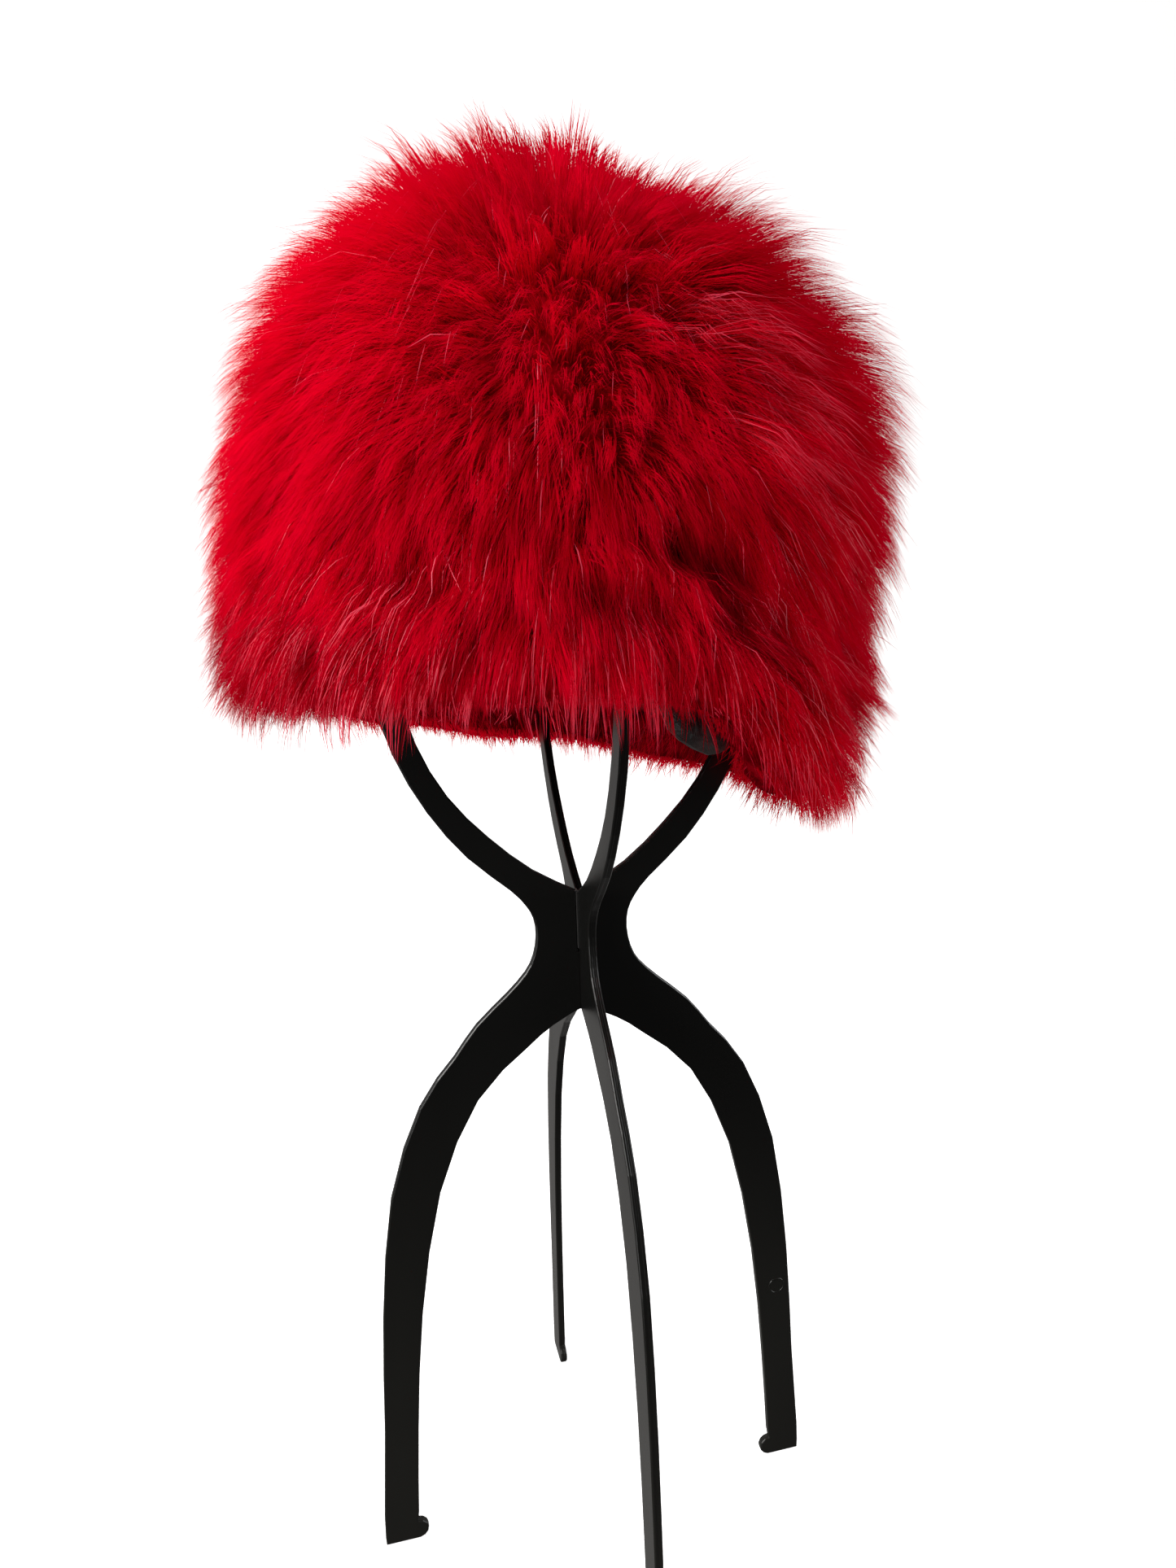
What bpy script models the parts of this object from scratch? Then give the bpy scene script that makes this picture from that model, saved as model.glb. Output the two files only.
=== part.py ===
"""Fur beanie on its plain folding stand, modelled in metres with +Z up.

The stand is two flat plastic plates that slot into each other at a hub. The cap rests on their
arms: a knitted backing cloth, a long pile in tiers of locks with its hem turned in, and a thin
lining that sags out of the hem at one place. The origin is on the ground, under the middle.
"""
import math

import bmesh
import bpy
import numpy as np
from mathutils import Vector
from mathutils.bvhtree import BVHTree

# Fits
CLEARANCE = 0.0003
SEAT_GAP = 0.0004

# Stand plates
PLATE_THICKNESS = 0.0030
PLATE_EDGE_BEVEL = 0.0004
FOOT_REACH = 0.0877
FOOT_NUB_RADIUS = 0.0040
NUB_INSET_SHARE = 0.15
NUB_TURN_DEG = 144.0
WAIST_HEIGHT = 0.2460
WAIST_HALF_WIDTH = 0.0170
ARM_RISE = 0.2020
ARM_REACH = 0.0680
ARM_WIDTH = 0.0088
CARRYING_SHARE = 0.80
CROTCH_SHOULDER_SHARE = 0.4
SHARP_EDGE_DEG = 30.0

# Place of the stand's axis under the cap
STAND_SIDE_OFFSET = 0.0060
STAND_BACK_OFFSET = 0.0000

# Cap, measured on the outer side of its backing cloth, with room for the arms inside it
CAP_SIDE_ROOM = 0.0210
CAP_DEPTH_EXTRA = 0.0080
CAP_HALF_WIDTH = ARM_REACH + CAP_SIDE_ROOM
CAP_HALF_DEPTH = CAP_HALF_WIDTH + CAP_DEPTH_EXTRA
CAP_HEIGHT = 0.1780
CROWN_LEFT_OFFSET = 0.0115
CROWN_OFFSET_POWER = 3
SECTION_SQUARENESS = 2.15
BACKING_THICKNESS = 0.0020
LINING_THICKNESS = 0.0010

# Fur
PILE_LENGTH = 0.0210
LOCK_LENGTH = 0.0250
LOCK_WIDTH = 0.0240
LOCK_FLARE = 0.0035
HEM_HANG = 0.0085
HEM_TURN_HEIGHT = 0.0160
HEM_TURN_THICKNESS = 0.0040
SWEEP_DEG = 30.0

# Tiers of locks: climbs and sweeps as shares of the tier, offsets of PILE_LENGTH, rises of LOCK_LENGTH
TIER_SPACING = 0.84
LAST_TIER_RISE = 0.35
LOCK_VIGOUR_RANGE = (0.65, 1.15)
CREST_CLIMB = 0.55
CREST_OFFSET = 0.80
CREST_SWELL = 0.17
CREST_SWEEP = 0.20
TIP_CLIMB = 0.26
TIP_FALL = 0.46
VALLEY_RISE = 0.10
TIP_OFFSET = 0.78
TIP_SWELL = 0.20
UNDERCUT_RISE = 0.02
UNDERCUT_TIP_RISE = 0.12
UNDERCUT_OFFSET = 0.66
UNDERCUT_TUCK = 0.06
UNDERCUT_SWEEP = 0.60
RIM_SWEEP_SHARE = 0.15
CLIMB_SWEEP_SHARE = 0.60

# Lining where it sags out of the hem
SAG_AROUND_DEG = -75.5
SAG_HALF_SPAN_DEG = 13.0
SAG_DROP = 0.0160
SAG_TUCK = 0.0025
LINING_EDGE_LIFT = 0.0030

# Mesh fineness
COLUMNS = 54
WALL_RINGS = 9
ARC_SAMPLES = 160
NORMAL_STEP = 0.004
EDGE_STEPS = 2
NUB_STEPS = 5
TIP_STEPS = 4
POLE_SHARE = 0.968
FEWEST_TIERS = 3
FEWEST_LOCKS = 3
SEED = 7

# Colours in linear light
FUR_COLOR = (0.45, 0.005, 0.015)
BACKING_COLOR = (0.16, 0.008, 0.012)
LINING_COLOR = (0.030, 0.024, 0.026)
PLATE_COLOR = (0.012, 0.012, 0.012)

# Leg edges: height as a share of WAIST_HEIGHT, both edges as shares of FOOT_REACH
LEG_COLUMNS = ("height", "outer", "inner")
LEG_ROWS = (
    (0.049, 0.999, 0.846),
    (0.203, 0.968, 0.820),
    (0.407, 0.935, 0.766),
    (0.610, 0.862, 0.655),
    (0.752, 0.718, 0.473),
    (0.825, 0.563, 0.257),
)
LOWER_CROTCH_SHARE = 0.878
UPPER_CROTCH_SHARE = 1.065

# Hub edge: height as a share of WAIST_HEIGHT, half width as a share of WAIST_HALF_WIDTH
HUB_COLUMNS = ("height", "half_width")
HUB_ROWS = (
    (0.872, 2.38),
    (0.915, 1.69),
    (0.945, 1.27),
    (0.970, 1.08),
    (1.000, 1.00),
    (1.027, 1.04),
    (1.050, 1.21),
    (1.075, 1.52),
)

# Arm centre line: rise above the waist as a share of ARM_RISE, reach of ARM_REACH, width of ARM_WIDTH
ARM_COLUMNS = ("rise", "reach", "width")
ARM_ROWS = (
    (0.174, 0.536, 1.18),
    (0.256, 0.730, 1.02),
    (0.357, 0.879, 1.00),
    (0.475, 0.963, 1.00),
    (0.610, 1.000, 1.00),
    (0.742, 0.993, 1.00),
    (0.864, 0.930, 1.00),
    (0.955, 0.800, 1.00),
    (1.000, 0.600, 1.00),
)

# Cap sections from rim to crown: rise as a share of the wall's height, left and right of
# CAP_HALF_WIDTH, front and back of CAP_HALF_DEPTH
SECTION_COLUMNS = ("rise", "left", "right", "front", "back")
SECTION_ROWS = (
    (0.000, 0.990, 0.925, 0.965, 0.970),
    (0.150, 0.985, 0.915, 0.975, 0.990),
    (0.320, 0.950, 0.920, 0.970, 0.990),
    (0.500, 0.900, 0.970, 0.955, 0.960),
    (0.680, 0.805, 1.005, 0.900, 0.890),
    (0.830, 0.650, 0.870, 0.775, 0.765),
    (0.930, 0.470, 0.650, 0.585, 0.580),
    (0.985, 0.280, 0.350, 0.325, 0.325),
    (1.000, 0.000, 0.000, 0.000, 0.000),
)

# Rim: angle about the cap, anticlockwise from its right side, and drop from the crown as a
# share of CAP_HEIGHT. The front is high, and a lobe hangs low to the right of it.
RIM_COLUMNS = ("around_deg", "drop")
RIM_ROWS = (
    (-180.0, 0.705),
    (-150.0, 0.710),
    (-120.0, 0.702),
    (-92.0, 0.705),
    (-78.0, 0.725),
    (-63.0, 0.873),
    (-45.0, 0.902),
    (-15.0, 0.960),
    (15.0, 0.978),
    (45.0, 0.980),
    (90.0, 0.917),
    (125.0, 0.846),
    (155.0, 0.750),
)

# Folds: middle in degrees around and as a share of the climb from rim to crown, spreads in the
# same units, and depth as a share of PILE_LENGTH, negative for a bulge
FOLD_COLUMNS = ("around_deg", "climb", "spread_deg", "spread_climb", "depth")
FOLD_ROWS = (
    (-68.0, 0.185, 34.0, 0.045, 0.30),
    (-84.0, 0.070, 40.0, 0.055, -0.16),
    (-124.0, 0.215, 10.0, 0.050, 0.20),
    (-48.0, 0.870, 30.0, 0.070, 0.16),
    (-150.0, 0.900, 45.0, 0.070, -0.14),
    (70.0, 0.300, 28.0, 0.080, 0.16),
)
FOLD_FADE_CLIMBS = (0.90, 0.99)

# Hem between the last locks and the turn inside: offset as a share of the turned-in depth, or of
# PILE_LENGTH where it is outside, and hang as a share of HEM_HANG
HEM_COLUMNS = ("outside", "inside", "hang")
HEM_ROWS = (
    (0.30, 0.00, 1.00),
    (0.00, 0.60, 0.90),
    (0.00, 1.00, 0.35),
)

# Lining below its last plain ring: lift as a share of LINING_EDGE_LIFT, and share of the sag
SKIRT_COLUMNS = ("lift", "fall")
SKIRT_ROWS = (
    (1.00, 0.00),
    (0.50, 0.50),
    (0.20, 1.00),
)
SAG_FLAT_SHARE = 0.25
TUCK_COLUMNS_BESIDE = (1.0, 3.0)


def column(rows, names, name):
    """Values of one named column of a table."""
    index = names.index(name)
    return np.array([row[index] for row in rows], dtype=float)


def curve_through(values, position):
    """Catmull-Rom curve through evenly numbered values, read at a position among them."""
    values = np.asarray(values, dtype=float)
    last = len(values) - 1
    position = np.clip(np.asarray(position, dtype=float), 0.0, last)
    index = np.minimum(position.astype(int), last - 1)
    t = position - index
    before = values[np.maximum(index - 1, 0)]
    start = values[index]
    end = values[index + 1]
    after = values[np.minimum(index + 2, last)]
    linear = (end - before) * t
    square = (2.0 * before - 5.0 * start + 4.0 * end - after) * t ** 2
    cube = (3.0 * start - before - 3.0 * end + after) * t ** 3
    return start + 0.5 * (linear + square + cube)


def plateau(distance, inner, outer):
    """1 up to the inner distance, falling smoothly to 0 at the outer one."""
    fade = np.clip((outer - distance) / (outer - inner), 0.0, 1.0)
    return fade * fade * (3.0 - 2.0 * fade)


def turn_between(angle_deg, middle_deg):
    """Signed angle from a middle, in degrees from -180 to 180."""
    return (angle_deg - middle_deg + 180.0) % 360.0 - 180.0


def rim_drop(around_deg):
    """Drop of the rim below the crown, eased between the rows of the rim's table."""
    angles = column(RIM_ROWS, RIM_COLUMNS, "around_deg")
    drops = column(RIM_ROWS, RIM_COLUMNS, "drop")
    angles = np.append(angles, angles[0] + 360.0)
    drops = np.append(drops, drops[0])
    turned = (around_deg - angles[0]) % 360.0 + angles[0]
    index = np.clip(np.searchsorted(angles, turned, side="right") - 1, 0, len(angles) - 2)
    share = (turned - angles[index]) / (angles[index + 1] - angles[index])
    eased = share * share * (3.0 - 2.0 * share)
    return CAP_HEIGHT * (drops[index] + (drops[index + 1] - drops[index]) * eased)


def fold_depth(around_deg, climb):
    """Sum of the folds and bulges, positive inwards."""
    depth = np.zeros_like(climb)
    for row in FOLD_ROWS:
        fold = dict(zip(FOLD_COLUMNS, row))
        across = turn_between(around_deg, fold["around_deg"]) / fold["spread_deg"]
        along = (climb - fold["climb"]) / fold["spread_climb"]
        depth = depth + fold["depth"] * PILE_LENGTH * np.exp(-across ** 2 - along ** 2)
    return depth


class CapForm:
    """The cap's outer cloth surface, read by climb from rim to crown and by angle."""

    def __init__(self):
        self.sections = {name: column(SECTION_ROWS, SECTION_COLUMNS, name) for name in SECTION_COLUMNS}
        rows = np.linspace(0.0, len(SECTION_ROWS) - 1.0, ARC_SAMPLES)
        around = np.linspace(-math.pi, math.pi, COLUMNS, endpoint=False)
        points = self.at_row(rows[:, None], around[None, :], 0.0)
        steps = np.linalg.norm(np.diff(points, axis=0), axis=2).mean(axis=1)
        self.lengths = np.concatenate([[0.0], np.cumsum(steps)])
        self.rows = rows
        self.wall_length = self.lengths[-1]

    def at_row(self, row, around, folds):
        """Point of the surface at a position in the section table, less the depth of folds."""
        row, around = np.broadcast_arrays(row, around)
        read = {name: curve_through(values, row) for name, values in self.sections.items()}
        cosine = np.cos(around)
        sine = np.sin(around)
        side = np.where(cosine > 0.0, read["right"], read["left"]) * CAP_HALF_WIDTH
        front_back = np.where(sine > 0.0, read["back"], read["front"]) * CAP_HALF_DEPTH
        across = np.abs(cosine / np.maximum(side, CLEARANCE)) ** SECTION_SQUARENESS
        along = np.abs(sine / np.maximum(front_back, CLEARANCE)) ** SECTION_SQUARENESS
        reach = (across + along) ** (-1.0 / SECTION_SQUARENESS) - folds
        drop = rim_drop(np.degrees(around))
        x = reach * cosine - CROWN_LEFT_OFFSET * read["rise"] ** CROWN_OFFSET_POWER
        y = reach * sine
        z = -drop * (1.0 - read["rise"])
        return np.stack([x, y, z], axis=-1)

    def on_wall(self, climb, around):
        """Point at a climb from 0 at the rim to 1 at the crown."""
        climb = np.clip(climb, 0.0, 1.0)
        row = np.interp(climb * self.wall_length, self.lengths, self.rows)
        folds = fold_depth(np.degrees(around), climb) * plateau(climb, *FOLD_FADE_CLIMBS)
        return self.at_row(row, around, folds)

    def normal(self, climb, around):
        """Outward unit normal of the surface."""
        step = NORMAL_STEP
        low = np.clip(climb, 0.0, 1.0 - 2.0 * step)
        up = self.on_wall(low + step, around) - self.on_wall(np.maximum(low - step, 0.0), around)
        turn = self.on_wall(low, around + step) - self.on_wall(low, around - step)
        normal = np.cross(turn, up)
        return normal / np.linalg.norm(normal, axis=-1, keepdims=True)

    def ring(self, climb, around, offset, hang=0.0):
        """One ring of points at an offset from the cloth, hung straight down below the rim."""
        climb, around, offset, hang = np.broadcast_arrays(climb, around, offset, hang)
        points = self.on_wall(climb, around) + self.normal(climb, around) * offset[..., None]
        points[..., 2] -= hang
        return points


def shell_mesh(name, rings):
    """Closed solid through rings that run from its outer crown, round the rim, to its inner crown."""
    mesh = bpy.data.meshes.new(name)
    work = bmesh.new()
    loops = [[work.verts.new(point) for point in ring] for ring in rings]
    for upper, lower in zip(loops, loops[1:]):
        for index in range(len(upper)):
            following = (index + 1) % len(upper)
            work.faces.new((upper[index], lower[index], lower[following], upper[following]))
    for loop in (loops[0], loops[-1]):
        middle = sum((vert.co for vert in loop), Vector()) / len(loop)
        pole = work.verts.new(middle)
        for index in range(len(loop)):
            work.faces.new((loop[index], loop[(index + 1) % len(loop)], pole))
    bmesh.ops.recalc_face_normals(work, faces=work.faces[:])
    bmesh.ops.triangulate(work, faces=work.faces[:])
    work.to_mesh(mesh)
    work.free()
    mesh.shade_smooth()
    return mesh


def principled(name, color, roughness):
    """Plain material with a colour and a roughness."""
    material = bpy.data.materials.new(name)
    material.use_nodes = True
    shader = material.node_tree.nodes["Principled BSDF"]
    shader.inputs["Base Color"].default_value = (*color, 1.0)
    shader.inputs["Roughness"].default_value = roughness
    shader.inputs["Metallic"].default_value = 0.0
    return material


def add_object(name, mesh, material, parent):
    """Object of a mesh with its own material, under a parent."""
    mesh.materials.append(material)
    item = bpy.data.objects.new(name, mesh)
    bpy.context.scene.collection.objects.link(item)
    item.parent = parent
    return item


def add_empty(name):
    """Empty that places the pieces parented to it."""
    empty = bpy.data.objects.new(name, None)
    bpy.context.scene.collection.objects.link(empty)
    return empty


def smooth_edge(points):
    """Points along a smooth curve through an edge's corner points, both ends kept."""
    points = np.asarray(points)
    position = np.linspace(0.0, len(points) - 1.0, (len(points) - 1) * EDGE_STEPS + 1)
    return [(float(curve_through(points[:, 0], p)), float(curve_through(points[:, 1], p))) for p in position]


def arm_edges():
    """Outer edge from hub to tip, the round tip, and inner edge from tip to hub, of a plate's arm."""
    reach = column(ARM_ROWS, ARM_COLUMNS, "reach") * ARM_REACH
    height = WAIST_HEIGHT + column(ARM_ROWS, ARM_COLUMNS, "rise") * ARM_RISE
    half = column(ARM_ROWS, ARM_COLUMNS, "width") * ARM_WIDTH / 2.0
    path = np.stack([reach, height], axis=1)
    along = np.gradient(path, axis=0)
    along /= np.linalg.norm(along, axis=1, keepdims=True)
    outward = np.stack([along[:, 1], -along[:, 0]], axis=1)
    outer = path + outward * half[:, None]
    inner = path - outward * half[:, None]
    tip = []
    for step in range(1, TIP_STEPS):
        angle = math.pi * step / TIP_STEPS
        tip.append(tuple(path[-1] + half[-1] * (math.cos(angle) * outward[-1] + math.sin(angle) * along[-1])))
    return [tuple(point) for point in outer], tip, [tuple(point) for point in inner[::-1]]


def leg_points(edge):
    """Corner points of one edge of a leg, from the foot up."""
    heights = column(LEG_ROWS, LEG_COLUMNS, "height") * WAIST_HEIGHT
    reaches = column(LEG_ROWS, LEG_COLUMNS, edge) * FOOT_REACH
    return list(zip(reaches, heights))


def foot_nub(inner_edge_foot):
    """Round nub on the inner side of a foot, from its top to the ground."""
    top_reach = inner_edge_foot[0]
    points = []
    for step in range(NUB_STEPS + 1):
        angle = math.pi / 2.0 + math.radians(NUB_TURN_DEG) * step / NUB_STEPS
        points.append((top_reach + FOOT_NUB_RADIUS * (NUB_INSET_SHARE + math.cos(angle)),
                       FOOT_NUB_RADIUS * (1.0 + math.sin(angle))))
    points.append((top_reach, 0.0))
    return points


def crotch_shoulder(crotch, edge_point):
    """Point between a crotch and the nearest point of a limb's inner edge, pulled towards the crotch."""
    reach = (crotch[0] + edge_point[0]) / 2.0
    return reach, crotch[1] + (edge_point[1] - crotch[1]) * CROTCH_SHOULDER_SHARE


def half_outline(slot_from_top):
    """Right half of a plate's outline, from its lower crotch round the foot and arm to the upper one."""
    slot_half = PLATE_THICKNESS / 2.0 + CLEARANCE
    lap_height = WAIST_HEIGHT * (LOWER_CROTCH_SHARE + UPPER_CROTCH_SHARE) / 2.0
    inner_leg = leg_points("inner")[::-1]
    lower_crotch = (slot_half, LOWER_CROTCH_SHARE * WAIST_HEIGHT)
    inner = smooth_edge([lower_crotch, crotch_shoulder(lower_crotch, inner_leg[0])] + inner_leg)
    nub = foot_nub(inner[-1])
    hub = list(zip(column(HUB_ROWS, HUB_COLUMNS, "half_width") * WAIST_HALF_WIDTH,
                   column(HUB_ROWS, HUB_COLUMNS, "height") * WAIST_HEIGHT))
    arm_outer, arm_tip, arm_inner = arm_edges()
    outer = smooth_edge([(FOOT_REACH, 0.0)] + leg_points("outer") + hub + arm_outer)
    upper_crotch = (slot_half, UPPER_CROTCH_SHARE * WAIST_HEIGHT)
    inner_arm = smooth_edge(arm_inner + [crotch_shoulder(upper_crotch, arm_inner[-1]), upper_crotch])
    outline = inner + nub + outer + arm_tip + inner_arm
    if slot_from_top:
        outline.append((slot_half, lap_height - CLEARANCE / 2.0))
    else:
        outline.insert(0, (slot_half, lap_height + CLEARANCE / 2.0))
    return outline


def plate_mesh(name, slot_from_top):
    """Flat plate with two legs, a slotted hub and two arms, with bevelled edges."""
    right = half_outline(slot_from_top)
    left = [(-reach, height) for reach, height in reversed(right)]
    mesh = bpy.data.meshes.new(name)
    work = bmesh.new()
    half = PLATE_THICKNESS / 2.0
    verts = [work.verts.new((reach, -half, height)) for reach, height in right + left]
    face = work.faces.new(verts)
    result = bmesh.ops.extrude_face_region(work, geom=[face])
    moved = [item for item in result["geom"] if isinstance(item, bmesh.types.BMVert)]
    bmesh.ops.translate(work, verts=moved, vec=(0.0, PLATE_THICKNESS, 0.0))
    bmesh.ops.recalc_face_normals(work, faces=work.faces[:])
    rims = [edge for edge in work.edges if abs(edge.verts[0].co.y - edge.verts[1].co.y) < CLEARANCE]
    bmesh.ops.bevel(work, geom=rims, offset=PLATE_EDGE_BEVEL, segments=1, affect="EDGES", profile=0.5)
    bmesh.ops.triangulate(work, faces=work.faces[:])
    work.to_mesh(mesh)
    work.free()
    mesh.shade_smooth()
    mesh.set_sharp_from_angle(angle=math.radians(SHARP_EDGE_DEG))
    return mesh


def wall_climbs(form):
    """Climbs of the rings that the backing, the lining and the inner side of the fur share."""
    hem_turn = HEM_TURN_HEIGHT / form.wall_length
    return np.concatenate([[0.0], np.linspace(hem_turn, POLE_SHARE, WALL_RINGS - 1)])


def column_angles():
    """Angles of the columns about the cap."""
    return np.linspace(-math.pi, math.pi, COLUMNS, endpoint=False)


def backing_rings(form):
    """Rings of the backing cloth, an open cap of even thickness."""
    around = column_angles()
    climbs = wall_climbs(form)
    outer = [form.ring(climb, around, 0.0) for climb in climbs[::-1]]
    inner = [form.ring(climb, around, -BACKING_THICKNESS) for climb in climbs]
    return outer + inner


def between_rings(form, climbs, share, offset):
    """Ring on the flat faces between two shared rings, at a share of the way up."""
    around = column_angles()
    low = form.ring(climbs[0], around, offset)
    high = form.ring(climbs[1], around, offset)
    return low + (high - low) * share


def lining_rings(form):
    """Rings of the lining, which ends above the turned-in hem but passes inside it where it sags."""
    around = column_angles()
    climbs = wall_climbs(form)
    distance = np.abs(turn_between(np.degrees(around), SAG_AROUND_DEG))
    near, far = (SAG_HALF_SPAN_DEG + beside * 360.0 / COLUMNS for beside in TUCK_COLUMNS_BESIDE)
    tuck = plateau(distance, near, far)
    sag = plateau(distance, SAG_FLAT_SHARE * SAG_HALF_SPAN_DEG, SAG_HALF_SPAN_DEG)
    outside = -(BACKING_THICKNESS + CLEARANCE)
    tucked = outside - tuck * (HEM_TURN_THICKNESS + SAG_TUCK)
    outer = [form.ring(climb, around, outside) for climb in climbs[:1:-1]]
    inner = [form.ring(climb, around, outside - LINING_THICKNESS) for climb in climbs[2:]]
    skirt = []
    for offset in (tucked, tucked - LINING_THICKNESS):
        hung = form.ring(0.0, around, offset, SAG_DROP)
        side = []
        for row in SKIRT_ROWS:
            skirt_row = dict(zip(SKIRT_COLUMNS, row))
            share = skirt_row["lift"] * LINING_EDGE_LIFT / ((climbs[2] - climbs[1]) * form.wall_length)
            plain = between_rings(form, climbs[1:3], share, offset)
            side.append(plain + (hung - plain) * (sag * skirt_row["fall"])[:, None])
        skirt.append(side)
    return outer + skirt[0] + skirt[1][::-1] + inner


def lock_count(form, climb):
    """Locks around a tier: a whole division of the columns that comes near the lock width."""
    ring = form.ring(climb, column_angles(), PILE_LENGTH)
    girth = np.linalg.norm(np.roll(ring, -1, axis=0) - ring, axis=1).sum()
    choices = [count for count in range(FEWEST_LOCKS, COLUMNS // 2 + 1) if COLUMNS % count == 0]
    return min(choices, key=lambda count: abs(math.log(count * LOCK_WIDTH / girth)))


def fur_tier(form, top, bottom, tier, draws):
    """Crest, tip and undercut rings of one tier of locks between two climbs."""
    around = column_angles()
    count = lock_count(form, (top + bottom) / 2.0)
    place = np.arange(COLUMNS) * count / COLUMNS + 0.5 * (tier % 2)
    tip = 1.0 - np.abs(2.0 * (place % 1.0) - 1.0)
    vigour = draws.uniform(*LOCK_VIGOUR_RANGE, count)[np.floor(place).astype(int) % count]
    length = top - bottom
    reach = LOCK_LENGTH / form.wall_length
    girth_share = np.sin(math.pi * min(0.5, RIM_SWEEP_SHARE + CLIMB_SWEEP_SHARE * (1.0 - bottom)))
    sweep = math.radians(SWEEP_DEG) * np.sin(around + math.pi / 2.0) * girth_share * length
    crest = form.ring(bottom + CREST_CLIMB * length, around + CREST_SWEEP * sweep,
                      PILE_LENGTH * (CREST_OFFSET + CREST_SWELL * tip * vigour))
    tip_climb = bottom + TIP_CLIMB * length - reach * (TIP_FALL * tip * vigour - VALLEY_RISE)
    tip_hang = np.maximum(-tip_climb, 0.0) * form.wall_length
    tip_offset = PILE_LENGTH * TIP_OFFSET + (PILE_LENGTH * TIP_SWELL + LOCK_FLARE * vigour) * tip
    tips = form.ring(np.maximum(tip_climb, 0.0), around + sweep, tip_offset, tip_hang)
    under_climb = tip_climb + reach * (UNDERCUT_RISE + UNDERCUT_TIP_RISE * tip)
    under_hang = np.maximum(-under_climb, 0.0) * form.wall_length
    under_offset = PILE_LENGTH * (UNDERCUT_OFFSET - UNDERCUT_TUCK * tip)
    under = form.ring(np.maximum(under_climb, 0.0), around + UNDERCUT_SWEEP * sweep, under_offset, under_hang)
    return [crest, tips, under]


def fur_rings(form):
    """Rings of the fur: tiers of locks outside, a turned-in hem, and a skin round the backing."""
    around = column_angles()
    climbs = wall_climbs(form)
    tiers = max(FEWEST_TIERS, round(form.wall_length / (LOCK_LENGTH * TIER_SPACING)))
    last_bottom = (LAST_TIER_RISE * LOCK_LENGTH - HEM_HANG) / form.wall_length
    bounds = np.linspace(POLE_SHARE, last_bottom, tiers + 1)
    draws = np.random.default_rng(SEED)
    rings = []
    for tier, (top, bottom) in enumerate(zip(bounds, bounds[1:])):
        rings += fur_tier(form, top, bottom, tier, draws)
    inside = -(BACKING_THICKNESS + CLEARANCE)
    turn_inside = inside - HEM_TURN_THICKNESS
    for row in HEM_ROWS:
        hem = dict(zip(HEM_COLUMNS, row))
        offset = PILE_LENGTH * hem["outside"] + turn_inside * hem["inside"]
        rings.append(form.ring(0.0, around, offset, HEM_HANG * hem["hang"]))
    rings.append(form.ring(climbs[1], around, turn_inside))
    rings.append(form.ring(climbs[1], around, inside))
    rings.append(form.ring(0.0, around, inside, CLEARANCE))
    rings.append(form.ring(0.0, around, CLEARANCE, CLEARANCE))
    rings += [form.ring(climb, around, CLEARANCE) for climb in climbs]
    return rings


def seat_height(lining, axis_x, axis_y):
    """Height of the crown at which the lining just clears the arms' upper edges."""
    tree = BVHTree.FromPolygons([vert.co for vert in lining.vertices],
                                [tuple(face.vertices) for face in lining.polygons])
    outer, tip, _ = arm_edges()
    edge = [point for point in smooth_edge(outer) + tip if point[1] > WAIST_HEIGHT + CARRYING_SHARE * ARM_RISE]
    half = PLATE_THICKNESS / 2.0
    below = Vector((0.0, 0.0, -CAP_HEIGHT / 2.0))
    highest = 0.0
    for reach, height in edge:
        for sign in (-1.0, 1.0):
            for side in (-half, half):
                for x, y in ((sign * reach, side), (side, sign * reach)):
                    start = below + Vector((axis_x + x, axis_y + y, 0.0))
                    hit = tree.ray_cast(start, Vector((0.0, 0.0, 1.0)))[0]
                    highest = max(highest, height + SEAT_GAP - hit.z)
    return highest


def middle_of(meshes):
    """Middle of the box round some meshes, seen from above."""
    points = np.array([vert.co[:2] for mesh in meshes for vert in mesh.vertices])
    return (points.min(axis=0) + points.max(axis=0)) / 2.0


def build():
    """Make every piece and place it."""
    for item in list(bpy.data.objects):
        bpy.data.objects.remove(item, do_unlink=True)
    form = CapForm()
    fur = shell_mesh("fur_pile", fur_rings(form))
    backing = shell_mesh("cap_backing", backing_rings(form))
    lining = shell_mesh("cap_lining", lining_rings(form))
    middle_x, middle_y = middle_of([fur])
    cap_seat = add_empty("cap_seat")
    cap_seat.location = (-middle_x, -middle_y, seat_height(lining, STAND_SIDE_OFFSET, STAND_BACK_OFFSET))
    stand_axis = add_empty("stand_axis")
    stand_axis.location = (STAND_SIDE_OFFSET - middle_x, STAND_BACK_OFFSET - middle_y, 0.0)
    add_object("fur_pile", fur, principled("fur_pile", FUR_COLOR, 0.65), cap_seat)
    add_object("cap_backing", backing, principled("cap_backing", BACKING_COLOR, 0.90), cap_seat)
    add_object("cap_lining", lining, principled("cap_lining", LINING_COLOR, 0.75), cap_seat)
    side_plate = plate_mesh("stand_side_plate", slot_from_top=True)
    front_plate = plate_mesh("stand_front_plate", slot_from_top=False)
    add_object("stand_side_plate", side_plate, principled("side_plate", PLATE_COLOR, 0.35), stand_axis)
    front = add_object("stand_front_plate", front_plate, principled("front_plate", PLATE_COLOR, 0.35), stand_axis)
    front.rotation_euler = (0.0, 0.0, math.pi / 2.0)


build()
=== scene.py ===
"""Looks of a long-pile fur beanie on its folding stand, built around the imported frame.

The stand's plates keep their shape and get a moulded plastic finish. The hat's soft solids are
replaced by a knitted backing, a thin lining with its sag, a dense undercoat, and fur in tapered
strands that follow the nap of the photograph. Everything is in metres, with +Z up.
"""
import logging
import math
from dataclasses import dataclass
from enum import Enum

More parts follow.
